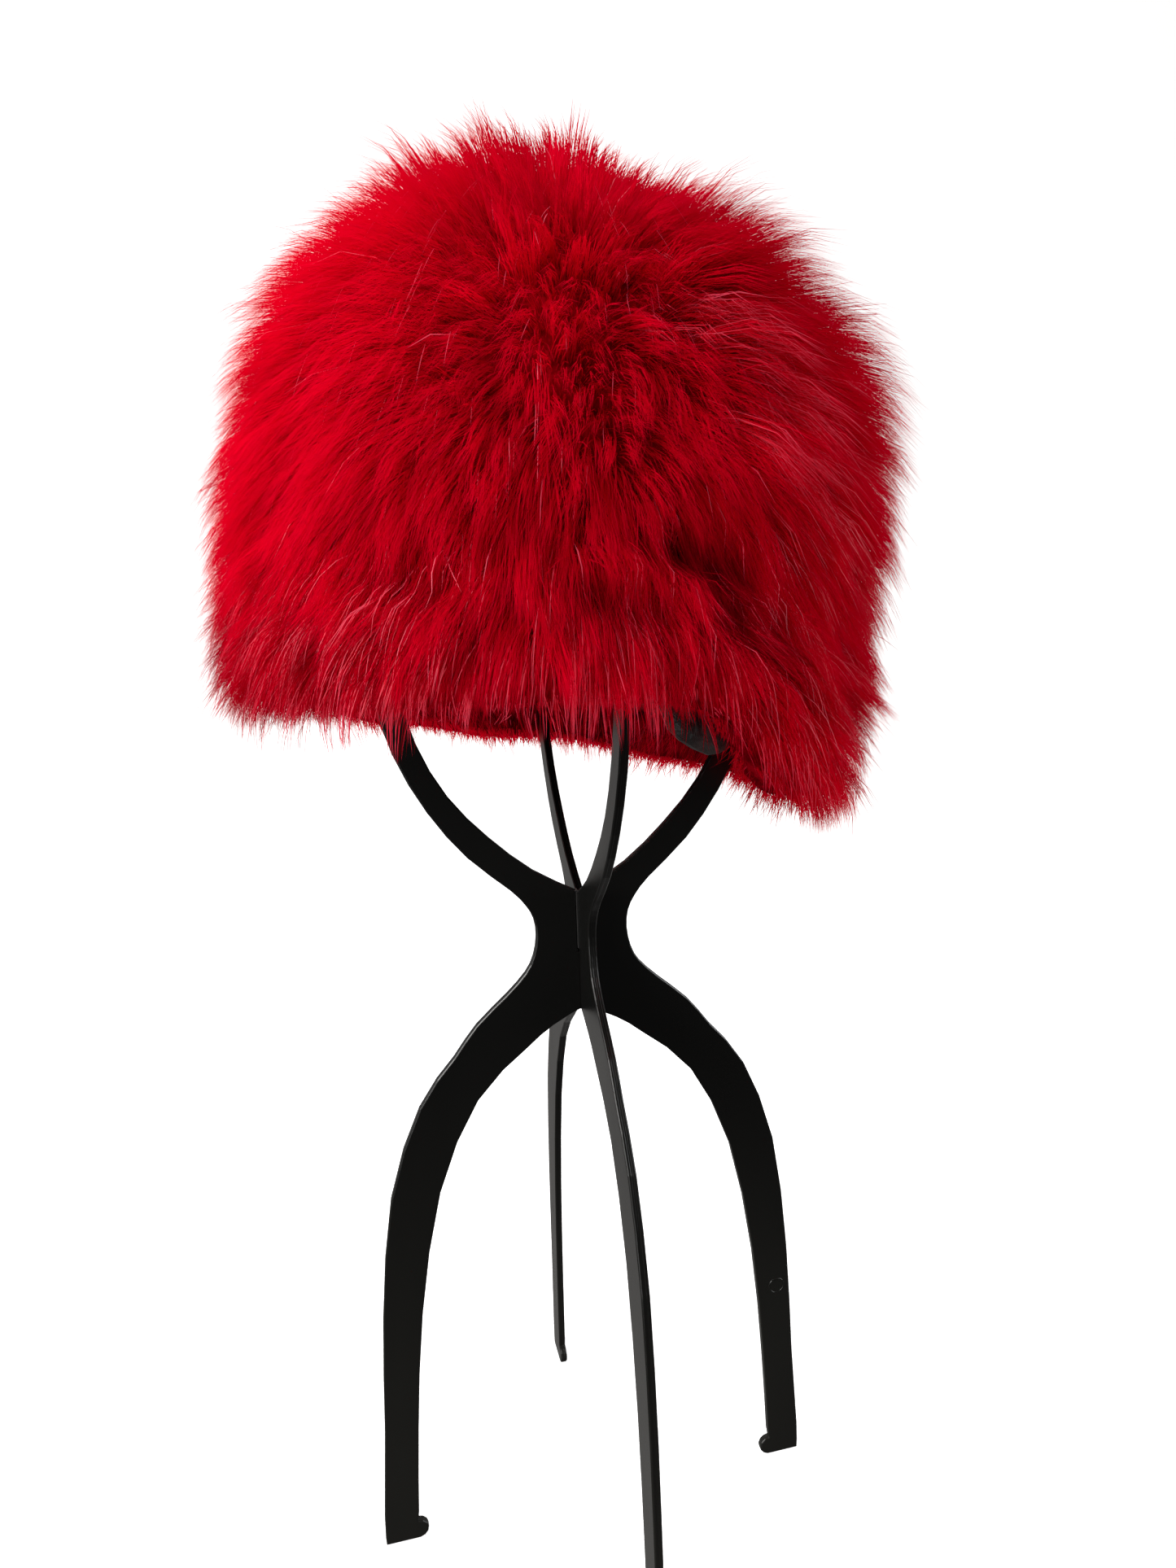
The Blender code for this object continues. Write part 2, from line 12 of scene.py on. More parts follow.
import bmesh
import bpy
import numpy as np
from mathutils import Matrix, Vector, noise
from mathutils.bvhtree import BVHTree
from mathutils.kdtree import KDTree


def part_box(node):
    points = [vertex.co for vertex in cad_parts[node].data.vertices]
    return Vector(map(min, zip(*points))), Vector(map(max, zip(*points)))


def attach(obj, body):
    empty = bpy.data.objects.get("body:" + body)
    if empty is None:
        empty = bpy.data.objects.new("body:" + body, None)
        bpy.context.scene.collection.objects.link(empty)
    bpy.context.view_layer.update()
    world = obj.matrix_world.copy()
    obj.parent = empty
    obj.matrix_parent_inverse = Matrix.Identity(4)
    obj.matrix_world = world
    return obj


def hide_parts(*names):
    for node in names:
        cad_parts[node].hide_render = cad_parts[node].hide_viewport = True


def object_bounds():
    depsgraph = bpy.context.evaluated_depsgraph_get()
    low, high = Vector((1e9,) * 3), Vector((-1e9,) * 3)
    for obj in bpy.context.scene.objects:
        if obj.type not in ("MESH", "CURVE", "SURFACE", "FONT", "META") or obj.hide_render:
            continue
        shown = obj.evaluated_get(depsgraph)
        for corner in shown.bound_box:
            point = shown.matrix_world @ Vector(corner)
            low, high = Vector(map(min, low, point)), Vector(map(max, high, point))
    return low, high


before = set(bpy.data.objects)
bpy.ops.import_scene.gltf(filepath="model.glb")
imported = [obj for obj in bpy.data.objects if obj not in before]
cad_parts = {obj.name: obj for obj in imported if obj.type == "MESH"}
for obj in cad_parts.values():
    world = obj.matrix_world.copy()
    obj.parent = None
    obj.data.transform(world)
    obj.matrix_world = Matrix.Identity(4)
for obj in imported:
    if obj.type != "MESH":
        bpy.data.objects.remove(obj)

log = logging.getLogger("fur_beanie")
CAD_BOX = [list(corner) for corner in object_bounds()]
# Any number but 0, which would take the seed from the clock.
NOISE_SEED = 5
# How far below the crown the point lies that the hat's angles are taken from.
CROWN_TO_MIDDLE = 0.105
# From the backing's outer side to just past its inner side.
BACKING_DEPTH = 0.0023
# Where the crown's piece of fur starts, from 0 at the rim to 1 at the top.
CROWN_CLIMB = 0.66
Colour = tuple[float, float, float]
Place = tuple[float, float, float]
Range = tuple[float, float]


class Value:
    """One socket of a shader, usable in Python expressions."""

    def __init__(self, graph: "Graph", socket: bpy.types.NodeSocket) -> None:
        """Keeps the graph and the socket."""
        self.graph = graph
        self.socket = socket

    def _math(self, operation: str, *values: "Value | float") -> "Value":
        """Math node over some values."""
        return self.graph.node("ShaderNodeMath", {"operation": operation}, dict(enumerate(values)))

    def __add__(self, other: "Value | float") -> "Value":
        """Sum."""
        return self._math("ADD", self, other)

    def __radd__(self, other: float) -> "Value":
        """Sum with a number on the left."""
        return self._math("ADD", other, self)

    def __sub__(self, other: "Value | float") -> "Value":
        """Difference."""
        return self._math("SUBTRACT", self, other)

    def __rsub__(self, other: float) -> "Value":
        """Difference from a number."""
        return self._math("SUBTRACT", other, self)

    def __mul__(self, other: "Value | float") -> "Value":
        """Product."""
        return self._math("MULTIPLY", self, other)

    def __rmul__(self, other: float) -> "Value":
        """Product with a number on the left."""
        return self._math("MULTIPLY", other, self)

    def __truediv__(self, other: "Value | float") -> "Value":
        """Quotient."""
        return self._math("DIVIDE", self, other)

    def __rtruediv__(self, other: float) -> "Value":
        """Quotient of a number."""
        return self._math("DIVIDE", other, self)

    def __pow__(self, other: "Value | float") -> "Value":
        """Power."""
        return self._math("POWER", self, other)

    def sine(self) -> "Value":
        """Sine of an angle in radians."""
        return self._math("SINE", self)

    def part(self, output: str) -> "Value":
        """Another output of the node that this value comes from."""
        return Value(self.graph, self.socket.node.outputs[output])

    def between(self, low: float, high: float, first: float = 0.0, last: float = 1.0) -> "Value":
        """The first result up to the low value, the last one from the high value, eased between them."""
        values = {"Value": self, "From Min": low, "From Max": high, "To Min": first, "To Max": last}
        return self.graph.node("ShaderNodeMapRange", {"interpolation_type": "SMOOTHSTEP"}, values)


class Graph:
    """Node tree of a material or of the world, written as expressions."""

    def __init__(self, owner: bpy.types.Material | bpy.types.World) -> None:
        """Empties the owner's node tree.

        Args:
            owner: The material or world that the tree belongs to.
        """
        owner.use_nodes = True
        self.owner = owner
        self.tree = owner.node_tree
        self.tree.nodes.clear()

    def node(self, kind: str, settings: dict[str, object] | None = None,
             values: dict[str | int, object] | None = None, output: str | int = 0) -> Value | None:
        """Adds a node.

        Args:
            kind: The node's type.
            settings: Properties of the node, set before its sockets.
            values: Socket values or links, by the socket's name or number.
            output: The output to go on with.

        Returns:
            The node's output, or none for a node that has no outputs.
        """
        node = self.tree.nodes.new(kind)
        for name, value in (settings or {}).items():
            setattr(node, name, value)
        for name, value in (values or {}).items():
            if isinstance(value, Value):
                self.tree.links.new(value.socket, node.inputs[name])
            else:
                node.inputs[name].default_value = value
        return Value(self, node.outputs[output]) if len(node.outputs) else None

    def place(self) -> Value:
        """Place on the object, in metres."""
        return self.node("ShaderNodeTexCoord", output="Object")

    def axes(self) -> Value:
        """Place on the object as numbers, X first, and the others as further outputs."""
        return self.node("ShaderNodeSeparateXYZ", values={0: self.place()})

    def attribute(self, name: str) -> Value:
        """Number stored on the mesh under a name."""
        return self.node("ShaderNodeAttribute", {"attribute_name": name}, output="Fac")

    def mix(self, share: Value | float, first: Value | Colour, second: Value | Colour) -> Value:
        """Colour between two colours."""
        first, second = (value if isinstance(value, Value) else (*value, 1.0) for value in (first, second))
        return self.node("ShaderNodeMix", {"data_type": "RGBA"}, {0: share, 6: first, 7: second}, 2)

    def noise(self, scale: float, detail: float = 2.0, place: Value | None = None) -> Value:
        """Noise from 0 to 1 over the object, or over another place."""
        values = {"Vector": place or self.place(), "Scale": scale, "Detail": detail}
        return self.node("ShaderNodeTexNoise", {"noise_dimensions": "3D"}, values)

    def stretched(self, scale: Place) -> Value:
        """Place on the object, multiplied along each axis."""
        return self.node("ShaderNodeVectorMath", {"operation": "MULTIPLY"}, {0: self.place(), 1: scale})

    def distance(self, point: Place) -> Value:
        """Distance on the object from a point, in metres."""
        values = {0: self.place(), 1: point}
        return self.node("ShaderNodeVectorMath", {"operation": "DISTANCE"}, values, "Value")

    def bump(self, height: Value, distance: float, under: Value | None = None) -> Value:
        """Normal raised by a height.

        Args:
            height: The height, from 0 to 1.
            distance: Length that a height of 1 stands for, in metres.
            under: Normal that it is raised from, or none for the surface's own.

        Returns:
            The normal.
        """
        values = {"Height": height, "Distance": distance}
        if under is not None:
            values["Normal"] = under
        return self.node("ShaderNodeBump", values=values, output="Normal")

    def principled(self, values: dict[str, object]) -> Value:
        """Principled shader with some of its sockets set or linked."""
        return self.node("ShaderNodeBsdfPrincipled", values=values)

    def finish(self, shader: Value, output: str = "ShaderNodeOutputMaterial") -> bpy.types.ID:
        """Sends a shader to the surface output and returns the material or world."""
        self.node(output, values={"Surface": shader})
        return self.owner


@dataclass(frozen=True)
class Finish:
    """A named finish, with the graph that its material starts from."""

    name: str

    def graph(self) -> Graph:
        """Empty graph of a new material under the finish's name."""
        return Graph(bpy.data.materials.new(self.name))


@dataclass(frozen=True)
class FurFinish(Finish):
    """Dyed synthetic fibre, dark at the root and lighter at the tip, with painted shade, and pale hairs that
    are partly painted sheen.
    """

    # Colour that painted shade darkens the fibre towards.
    dark_and_shade: Colour
    root: Colour
    body: Colour
    tip: Colour
    # Colour of pale hairs, and of the painted sheen in the streaks.
    pale: Colour
    glow: Colour
    coat_tint: Colour = (1.0, 0.45, 0.58)
    coat_roughness: float = 0.42
    roughness: float = 0.50
    glow_share: float = 0.46
    patch_scale: float = 38.0
    patch_share: float = 0.25

    def material(self) -> bpy.types.Material:
        """Makes the material, which reads how far along its strand a point is, how its strand differs, how
        pale it is, partly as painted sheen, and its painted shade.

        Returns:
            The material.
        """
        graph = self.graph()
        grow, tone, pale = (graph.attribute(name) for name in ("grow", "tone", "pale"))
        patch = graph.noise(self.patch_scale, 3.0)
        colour = graph.mix(grow.between(0.0, 0.50), self.root, self.body)
        colour = graph.mix(grow.between(0.45, 1.0) * tone, colour, self.tip)
        colour = graph.mix(patch.between(0.45, 0.80) * self.patch_share, colour, self.root)
        # Pale hairs, and painted sheen where a strand lies in a sheen streak.
        colour = graph.mix(pale, colour, self.pale)
        # Painted shade: the shade attribute darkens the fibre in creases, dark tufts and darker bands of the
        # pile.
        colour = graph.mix(graph.attribute("shade"), colour, self.dark_and_shade)
        values = {"Base Color": colour, "Roughness": self.roughness + (tone - 0.5) * 0.2,
                  "Specular IOR Level": 0.0, "Coat Weight": pale, "Coat Roughness": self.coat_roughness,
                  "Coat Tint": (*self.coat_tint, 1.0)}
        fibre = graph.principled(values)
        glow = graph.node("ShaderNodeBsdfTranslucent", values={"Color": (*self.glow, 1.0)})
        return graph.finish(graph.node("ShaderNodeMixShader", values={0: self.glow_share, 1: fibre, 2: glow}))


@dataclass(frozen=True)
class PlushFinish(Finish):
    """Matted undercoat, with painted shade between its fibres."""

    # Colour of the dark clots, and of the painted shade between fibres.
    dark_and_shade: Colour
    light: Colour
    fibre_scale: float = 900.0
    clot_scale: float = 160.0
    relief: float = 0.0012

    def material(self) -> bpy.types.Material:
        """Makes the material of short matted fibres with painted shade in the gaps between them.

        Returns:
            The material.
        """
        graph = self.graph()
        fibres = graph.noise(self.fibre_scale, 3.0, graph.stretched((1.0, 1.0, 0.35)))
        clots = graph.noise(self.clot_scale, 3.0)
        colour = graph.mix(clots.between(0.35, 0.70), self.dark_and_shade, self.light)
        # Painted shade in the gaps between fibres.
        colour = graph.mix(fibres.between(0.55, 0.75) * 0.5, colour, self.dark_and_shade)
        values = {"Base Color": colour, "Roughness": 0.7 + clots * 0.2, "Specular IOR Level": 0.0,
                  "Normal": graph.bump(fibres + clots, self.relief)}
        return graph.finish(graph.principled(values))


@dataclass(frozen=True)
class ClothFinish(Finish):
    """Woven or knitted cloth with a thread pitch."""

    thread: Colour
    gap: Colour
    pitch: float
    roughness: float
    relief: float
    sheen: float = 0.3
    # Colour of the lower edge, in patches; the lining's lighter one is painted light on its rolled edge.
    edge: Colour = (0.10, 0.004, 0.008)
    crumple: float = 0.0002
    crumple_scale: float = 160.0
    wear_and_light_scale: float = 55.0

    def material(self) -> bpy.types.Material:
        """Makes the material of crossing threads, with creases, faint wear, and a lower edge of its own
        colour in patches, which on the lining is lighter, as painted light on its lit rolled edge.

        Returns:
            The material.
        """
        graph = self.graph()
        axes = graph.axes()
        turn = 2.0 * math.pi / self.pitch
        warp = ((axes + axes.part("Y")) * turn).sine()
        weft = (axes.part("Z") * turn).sine()
        height = (warp * weft + 1.0) * 0.5
        # Patches of faint wear, which also place the painted light on the lining's edge.
        wear_and_light_patches = graph.noise(self.wear_and_light_scale, 4.0)
        creases = graph.noise(self.crumple_scale, 3.0)
        colour = graph.mix(height.between(0.15, 0.85), self.gap, self.thread)
        colour = graph.mix(wear_and_light_patches.between(0.4, 0.8) * 0.4, colour, self.gap)
        # Lower edge in its own colour: painted light on the lining, the darker gap colour on the backing.
        colour = graph.mix(graph.attribute("edge") * wear_and_light_patches.between(0.35, 0.60), colour, self.edge)
        values = {"Base Color": colour, "Roughness": self.roughness + (wear_and_light_patches - 0.5) * 0.25,
                  "Sheen Weight": self.sheen,
                  "Normal": graph.bump(height * (self.relief / self.crumple) + creases, self.crumple)}
        return graph.finish(graph.principled(values))


class Axis(Enum):
    """Axis that runs through a plate's thickness."""

    X = "X"
    Y = "Y"


@dataclass(frozen=True)
class PlasticFinish(Finish):
    """Satin black moulded plastic, duller and greyer towards the ground."""

    axis: Axis
    middle: float
    mark: Place
    pip: Place
    dark: Colour = (0.0024, 0.0024, 0.0021)
    low_grey: Colour = (0.0180, 0.0176, 0.0152)
    roughness: float = 0.27
    specular: float = 0.42
    grey_top: float = 0.22
    mark_radius: float = 0.0032
    mark_line: float = 0.0004
    pip_radius: float = 0.0007
    line_half_width: float = 0.0004
    edge_radius: float = 0.0005
    flow_scale: float = 26.0
    grain_scale: float = 1400.0
    relief: float = 0.0003

    def material(self) -> bpy.types.Material:
        """Makes the material with grain, flow marks, a greyer colour low down, a parting line and a round
        mark.

        Returns:
            The material.
        """
        graph = self.graph()
        axes = graph.axes()
        flow = graph.noise(self.flow_scale, 3.0, graph.stretched((1.0, 1.0, 0.3)))
        grain = graph.noise(self.grain_scale, 2.0)
        # Greyer towards the ground.
        low = 1.0 - axes.part("Z").between(0.0, self.grey_top)
        colour = graph.mix(low * (0.35 + flow * 0.5), self.dark, self.low_grey)
        off_line = ((axes.part(self.axis.value) - self.middle) / self.line_half_width) ** 2.0
        line = 1.0 - off_line.between(0.55, 1.25)
        off_ring = ((graph.distance(self.mark) - self.mark_radius) / self.mark_line) ** 2.0
        pip = 1.0 - graph.distance(self.pip).between(self.pip_radius * 0.3, self.pip_radius)
        relief = grain * 0.06 + flow * 0.3 + (1.0 - off_ring).between(0.0, 1.0) + pip * 2.0 - line * 0.8
        edge = graph.node("ShaderNodeBevel", {"samples": 6}, {"Radius": self.edge_radius})
        values = {"Base Color": colour, "Roughness": self.roughness + (flow - 0.5) * 0.14 + grain * 0.06,
                  "Specular IOR Level": self.specular, "Normal": graph.bump(relief, self.relief, under=edge)}
        return graph.finish(graph.principled(values))


@dataclass(frozen=True)
class StageFinish(Finish):
    """Plain pale surface under and behind the object."""

    light: Colour
    shade: Colour
    lift: float

    def material(self) -> bpy.types.Material:
        """Makes the matt material with very faint variation, lit a little from within.

        Returns:
            The material.
        """
        graph = self.graph()
        colour = graph.mix(graph.noise(3.0, 2.0).between(0.3, 0.7), self.light, self.shade)
        values = {"Base Color": colour, "Roughness": 0.9, "Specular IOR Level": 0.1,
                  "Emission Color": (*self.light, 1.0), "Emission Strength": self.lift}
        return graph.finish(graph.principled(values))


# Fur: its first colour is the one that painted shade darkens towards, and its pale colour serves pale hairs
# and painted sheen.
FUR = FurFinish("fur_fibre", dark_and_shade=(0.070, 0.0001, 0.002), root=(0.40, 0.0001, 0.007),
                body=(0.70, 0.0002, 0.017), tip=(0.80, 0.0006, 0.036), pale=(1.00, 0.16, 0.28),
                glow=(0.85, 0.0003, 0.018))
UNDERCOAT = PlushFinish("fur_undercoat", dark_and_shade=(0.16, 0.0003, 0.003), light=(0.40, 0.0006, 0.009))
BACKING = ClothFinish("backing_knit", thread=(0.30, 0.012, 0.02), gap=(0.10, 0.004, 0.008), pitch=0.0016,
                      roughness=0.85, relief=0.0004)
# The lining's lighter edge colour is painted light on its rolled edge.
LINING = ClothFinish("lining_cloth", thread=(0.010, 0.006, 0.006), gap=(0.004, 0.0025, 0.0025),
                     pitch=0.0007, roughness=0.42, relief=0.00012, sheen=0.04,
                     edge=(0.060, 0.044, 0.042), crumple=0.0030)
SIDE_PLATE = PlasticFinish("side_plate_plastic", Axis.Y, middle=-0.00076, mark=(0.0843, -0.0023, 0.082),
                           pip=(-0.0200, -0.0023, 0.2560))
FRONT_PLATE = PlasticFinish("front_plate_plastic", Axis.X, middle=0.00673, mark=(0.0082, 0.0760, 0.082),
                            pip=(0.00692, -0.0273, 0.2632))
FLOOR = StageFinish("pale_stage", light=(0.90, 0.90, 0.90), shade=(0.88, 0.88, 0.88), lift=0.90)


def unit(vectors: np.ndarray) -> np.ndarray:
    """Vectors of length one."""
    return vectors / np.maximum(np.linalg.norm(vectors, axis=-1, keepdims=True), 1e-9)


def eased(value: np.ndarray, low: float, high: float) -> np.ndarray:
    """0 up to the low value, 1 from the high one, eased between them."""
    share = np.clip((value - low) / (high - low), 0.0, 1.0)
    return share * share * (3.0 - 2.0 * share)


def head_middle(low: np.ndarray, high: np.ndarray) -> np.ndarray:
    """Point inside the hat that rays and angles are taken from, given the cloth's box."""
    return np.array([*(low[:2] + high[:2]) / 2.0, high[2] - CROWN_TO_MIDDLE])


def store(mesh: bpy.types.Mesh, name: str, values: np.ndarray) -> None:
    """Keeps a number for each vertex under a name."""
    mesh.attributes.new(name, "FLOAT", "POINT").data.foreach_set("value", values.astype(np.float32).ravel())


def move_points(mesh: bpy.types.Mesh, points: np.ndarray) -> None:
    """Puts a mesh's vertices at new places."""
    mesh.vertices.foreach_set("co", points.astype(np.float32).ravel())
    mesh.update()


def add_piece(name: str, mesh: bpy.types.Mesh, material: bpy.types.Material, slot: str) -> bpy.types.Object:
    """Shows a mesh as a piece of one material, riding on the root body.

    Args:
        name: The piece's name.
        mesh: Its mesh.
        material: Its material.
        slot: Not used.

    Returns:
        The piece.
    """
    mesh.materials.append(material)
    piece = bpy.data.objects.new(name, mesh)
    bpy.context.scene.collection.objects.link(piece)
    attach(piece, "root")
    return piece


def mesh_from(name: str, points: np.ndarray, corners: np.ndarray, starts: np.ndarray) -> bpy.types.Mesh:
    """Smooth mesh from arrays.

    Args:
        name: The mesh's name.
        points: Vertices.
        corners: Vertex numbers of all faces, one after another.
        starts: Where each face starts among the corners.

    Returns:
        The mesh.
    """
    mesh = bpy.data.meshes.new(name)
    mesh.vertices.add(len(points))
    mesh.vertices.foreach_set("co", points.astype(np.float32).ravel())
    mesh.loops.add(len(corners))
    mesh.loops.foreach_set("vertex_index", corners.astype(np.int32))
    mesh.polygons.add(len(starts))
    mesh.polygons.foreach_set("loop_start", starts.astype(np.int32))
    mesh.update(calc_edges=True)
    mesh.shade_smooth()
    return mesh


def grid_mesh(name: str, rings: np.ndarray) -> bpy.types.Mesh:
    """Smooth mesh through closed rings.

    Args:
        name: The mesh's name.
        rings: Points, as rings by columns by three.

    Returns:
        The mesh.
    """
    count, columns = rings.shape[:2]
    index = np.arange(count * columns).reshape(count, columns)
    following = np.roll(index, -1, axis=1)
    quads = np.stack([index[:-1], following[:-1], following[1:], index[1:]], axis=-1).reshape(-1, 4)
    return mesh_from(name, rings.reshape(-1, 3), quads.ravel(), np.arange(len(quads)) * 4)


@dataclass
class Spots:
    """Points of the scalp that strands grow from: climb is 0 at the rim, around is in degrees."""

    points: np.ndarray
    normals: np.ndarray
    climb: np.ndarray
    around: np.ndarray


class Scalp:
    """The hat's outer cloth surface, read off a frame node as a smooth grid of rings and columns."""

    RINGS = 56
    COLUMNS = 180
    REACH = 0.25
    SAMPLES = 90
    HALVINGS = 18
    LOWEST_TILT = -math.radians(60.0)
    SMOOTH_AROUND = 2
    SMOOTH_ALONG = 6

    def __init__(self, node: str) -> None:
        """Reads the surface with rays towards a point inside the hat.

        Args:
            node: Name of the cloth's frame node.
        """
        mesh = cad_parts[node].data
        faces = [tuple(face.vertices) for face in mesh.polygons]
        tree = BVHTree.FromPolygons([vert.co for vert in mesh.vertices], faces)
        self.middle = head_middle(*(np.array(corner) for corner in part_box(node)))
        self.angles = np.linspace(-math.pi, math.pi, self.COLUMNS, endpoint=False)
        grid = np.stack([self._meridian(tree, angle) for angle in self.angles], axis=1)
        grid[-1] = grid[-1].mean(axis=0)
        for _ in range(self.SMOOTH_AROUND):
            grid = (np.roll(grid, 1, axis=1) + grid * 2.0 + np.roll(grid, -1, axis=1)) / 4.0
        for _ in range(self.SMOOTH_ALONG):
            inner = (grid[:-2] + grid[1:-1] * 2.0 + grid[2:]) / 4.0
            grid = np.concatenate([grid[:1], inner, grid[-1:]])
        self.grid = grid
        rise = np.gradient(grid, axis=0)
        turn = (np.roll(grid, -1, axis=1) - np.roll(grid, 1, axis=1)) / 2.0
        normals = np.cross(turn, rise)
        normals[-1] = (0.0, 0.0, 1.0)
        self.normals = unit(normals)
        self.areas = np.linalg.norm(normals, axis=-1)
        self.wall_length = np.linalg.norm(rise, axis=-1)[:-1].sum(axis=0).mean()
        self.rim_height = grid[0, :, 2]
        log.info("scalp: %d rings, %d columns, wall %.0f mm, area %.0f cm2", self.RINGS, self.COLUMNS,
                 self.wall_length * 1000.0, self.areas[:-1].sum() * 10000.0)

    def _hit(self, tree: BVHTree, angle: float, tilt: float) -> Vector | None:
        """Finds the outer surface in one direction from the middle.

        Args:
            tree: The cloth's faces.
            angle: Angle around, in radians.
            tilt: Angle up from the level, in radians.

        Returns:
            The point, or none below the rim.
        """
        level = math.cos(tilt)
        heading = Vector((math.cos(angle) * level, math.sin(angle) * level, math.sin(tilt)))
        return tree.ray_cast(Vector(self.middle) + heading * self.REACH, -heading, self.REACH)[0]

    def _meridian(self, tree: BVHTree, angle: float) -> np.ndarray:
        """Follows the surface from rim to crown at one angle.

        Args:
            tree: The cloth's faces.
            angle: Angle around, in radians.

        Returns:
            Evenly spaced points, one for each ring.
        """
        inside, outside = 0.0, self.LOWEST_TILT
        for _ in range(self.HALVINGS):
            tilt = (inside + outside) / 2.0
            if self._hit(tree, angle, tilt) is None:
                outside = tilt
            else:
                inside = tilt
        tilts = np.linspace(inside, math.pi / 2.0 - 1e-4, self.SAMPLES)
        hits = [self._hit(tree, angle, tilt) for tilt in tilts]
        line = np.array([point for point in hits if point is not None])
        along = np.concatenate([[0.0], np.cumsum(np.linalg.norm(np.diff(line, axis=0), axis=1))])
        wanted = np.linspace(0.0, along[-1], self.RINGS)
        return np.stack([np.interp(wanted, along, line[:, axis]) for axis in range(3)], axis=1)

    def read(self, grid: np.ndarray, row: np.ndarray, column: np.ndarray) -> np.ndarray:
        """Reads a grid at places between its rings and columns.

        Args:
            grid: Vectors, as rings by columns by three.
            row: Where each place lies among the rings.
            column: Where each place lies among the columns.

        Returns:
            The vector at each place.
        """
        ring = np.clip(row.astype(int), 0, self.RINGS - 2)
        left = column.astype(int) % self.COLUMNS
        right = (left + 1) % self.COLUMNS
        up = (row - ring)[:, None]
        over = (column % 1.0)[:, None]
        low = grid[ring, left] * (1.0 - over) + grid[ring, right] * over
        high = grid[ring + 1, left] * (1.0 - over) + grid[ring + 1, right] * over
        return low * (1.0 - up) + high * up

    def scatter(self, count: int, draws: np.random.Generator, climbs: Range) -> Spots:
        """Random spots, even over the surface between two climbs.

        Args:
            count: Number of spots.
            draws: Random numbers.
            climbs: Lowest and highest climb.

        Returns:
            The spots.
        """
        climb = np.arange(self.RINGS)[:, None] / (self.RINGS - 1.0)
        weights = (self.areas * ((climb >= climbs[0]) & (climb < climbs[1])))[:-1].ravel()
        cells = draws.choice(len(weights), count, p=weights / weights.sum())
        row = cells // self.COLUMNS + draws.random(count)
        column = cells % self.COLUMNS + draws.random(count)
        return self.spots(row, column)

    def spots(self, row: np.ndarray, column: np.ndarray) -> Spots:
        """Spots at places of the grid."""
        around = np.degrees(self.angles[0]) + column * 360.0 / self.COLUMNS
        return Spots(self.read(self.grid, row, column), unit(self.read(self.normals, row, column)),
                     row / (self.RINGS - 1.0), (around + 180.0) % 360.0 - 180.0)

    def rim_under(self, points: np.ndarray) -> np.ndarray:
        """Height of the rim at the angle of each point."""
        around = np.arctan2(points[:, 1] - self.middle[1], points[:, 0] - self.middle[0])
        return np.interp(around, self.angles, self.rim_height, period=2.0 * math.pi)

    def level(self, climb: float) -> Spots:
        """Spots all round at one climb, one for each column."""
        row = np.full(self.COLUMNS, climb * (self.RINGS - 1.0))
        return self.spots(row, np.arange(self.COLUMNS, dtype=float))

    def ring(self, climb: float, offset: float, hang: np.ndarray | float = 0.0) -> np.ndarray:
        """Ring of points off the cloth.

        Args:
            climb: Where the ring lies, from 0 at the rim to 1 at the crown.
            offset: How far off the cloth it lies.
            hang: How far it hangs down.

        Returns:
            A point for each column.
        """
        around = self.level(climb)
        points = around.points + around.normals * offset
        points[:, 2] -= hang
        return points


@dataclass(frozen=True)
class Nap:
    """Which way the pile lies: away from a parting at the front of the hat, and down below it.

    Distances from the parting are in decimetres, so that they are near 1 at the hat's sides.
    """

    source: Place = (-0.005, -0.101, 0.450)
    still: Place = (-0.017, -0.110, 0.415)
    calm: float = 0.080
    least: float = 0.50
    spread: float = 10.0
    fall: float = 1.20
    slack_left: float = 0.25
    slack_elsewhere: float = 1.00
    above_from: Range = (-0.10, 0.20)
    right_from: Range = (0.0, 0.30)
    push_right: float = 0.12
    right_slack_share: float = 0.35
    sink_right: float = 0.50
    sink_lost: float = 0.75
    sink_lost_from: Range = (0.15, 1.2)
    easing: float = 0.45

    def flow(self, spots: Spots) -> np.ndarray:
        """Works out the lie of the pile.

        Args:
            spots: Where the strands grow.

        Returns:
            Vectors in the surface, short where the pile stands up and nearly 1 where it lies down.
        """
        away = (spots.points - np.array(self.source)) * self.spread
        reach = np.sum(away ** 2, axis=1)
        above = eased(away[:, 2], *self.above_from)
        right = eased(away[:, 0], *self.right_from)
        off_left = np.maximum(above, right * self.right_slack_share)
        slack = self.slack_left + (self.slack_elsewhere - self.slack_left) * off_left
        away[:, 2] -= self.fall * reach / (reach + slack)
        away[:, 0] += self.push_right * right
        away[:, 2] -= self.sink_right * right * (1.0 - self.sink_lost * eased(reach, *self.sink_lost_from))
        level = away - spots.normals * np.sum(away * spots.normals, axis=1, keepdims=True)
        off = np.linalg.norm(spots.points - np.array(self.still), axis=1, keepdims=True)
        share = self.least + (1.0 - self.least) * eased(off, 0.0, self.calm)
        return share * level / (self.easing + np.linalg.norm(level, axis=1, keepdims=True))

    def standing(self, spots: Spots, start: float, end: float) -> np.ndarray:
        """How upright the pile stands at each spot, from 0 to 1."""
        return eased(1.0 - np.linalg.norm(self.flow(spots), axis=1), start, end)


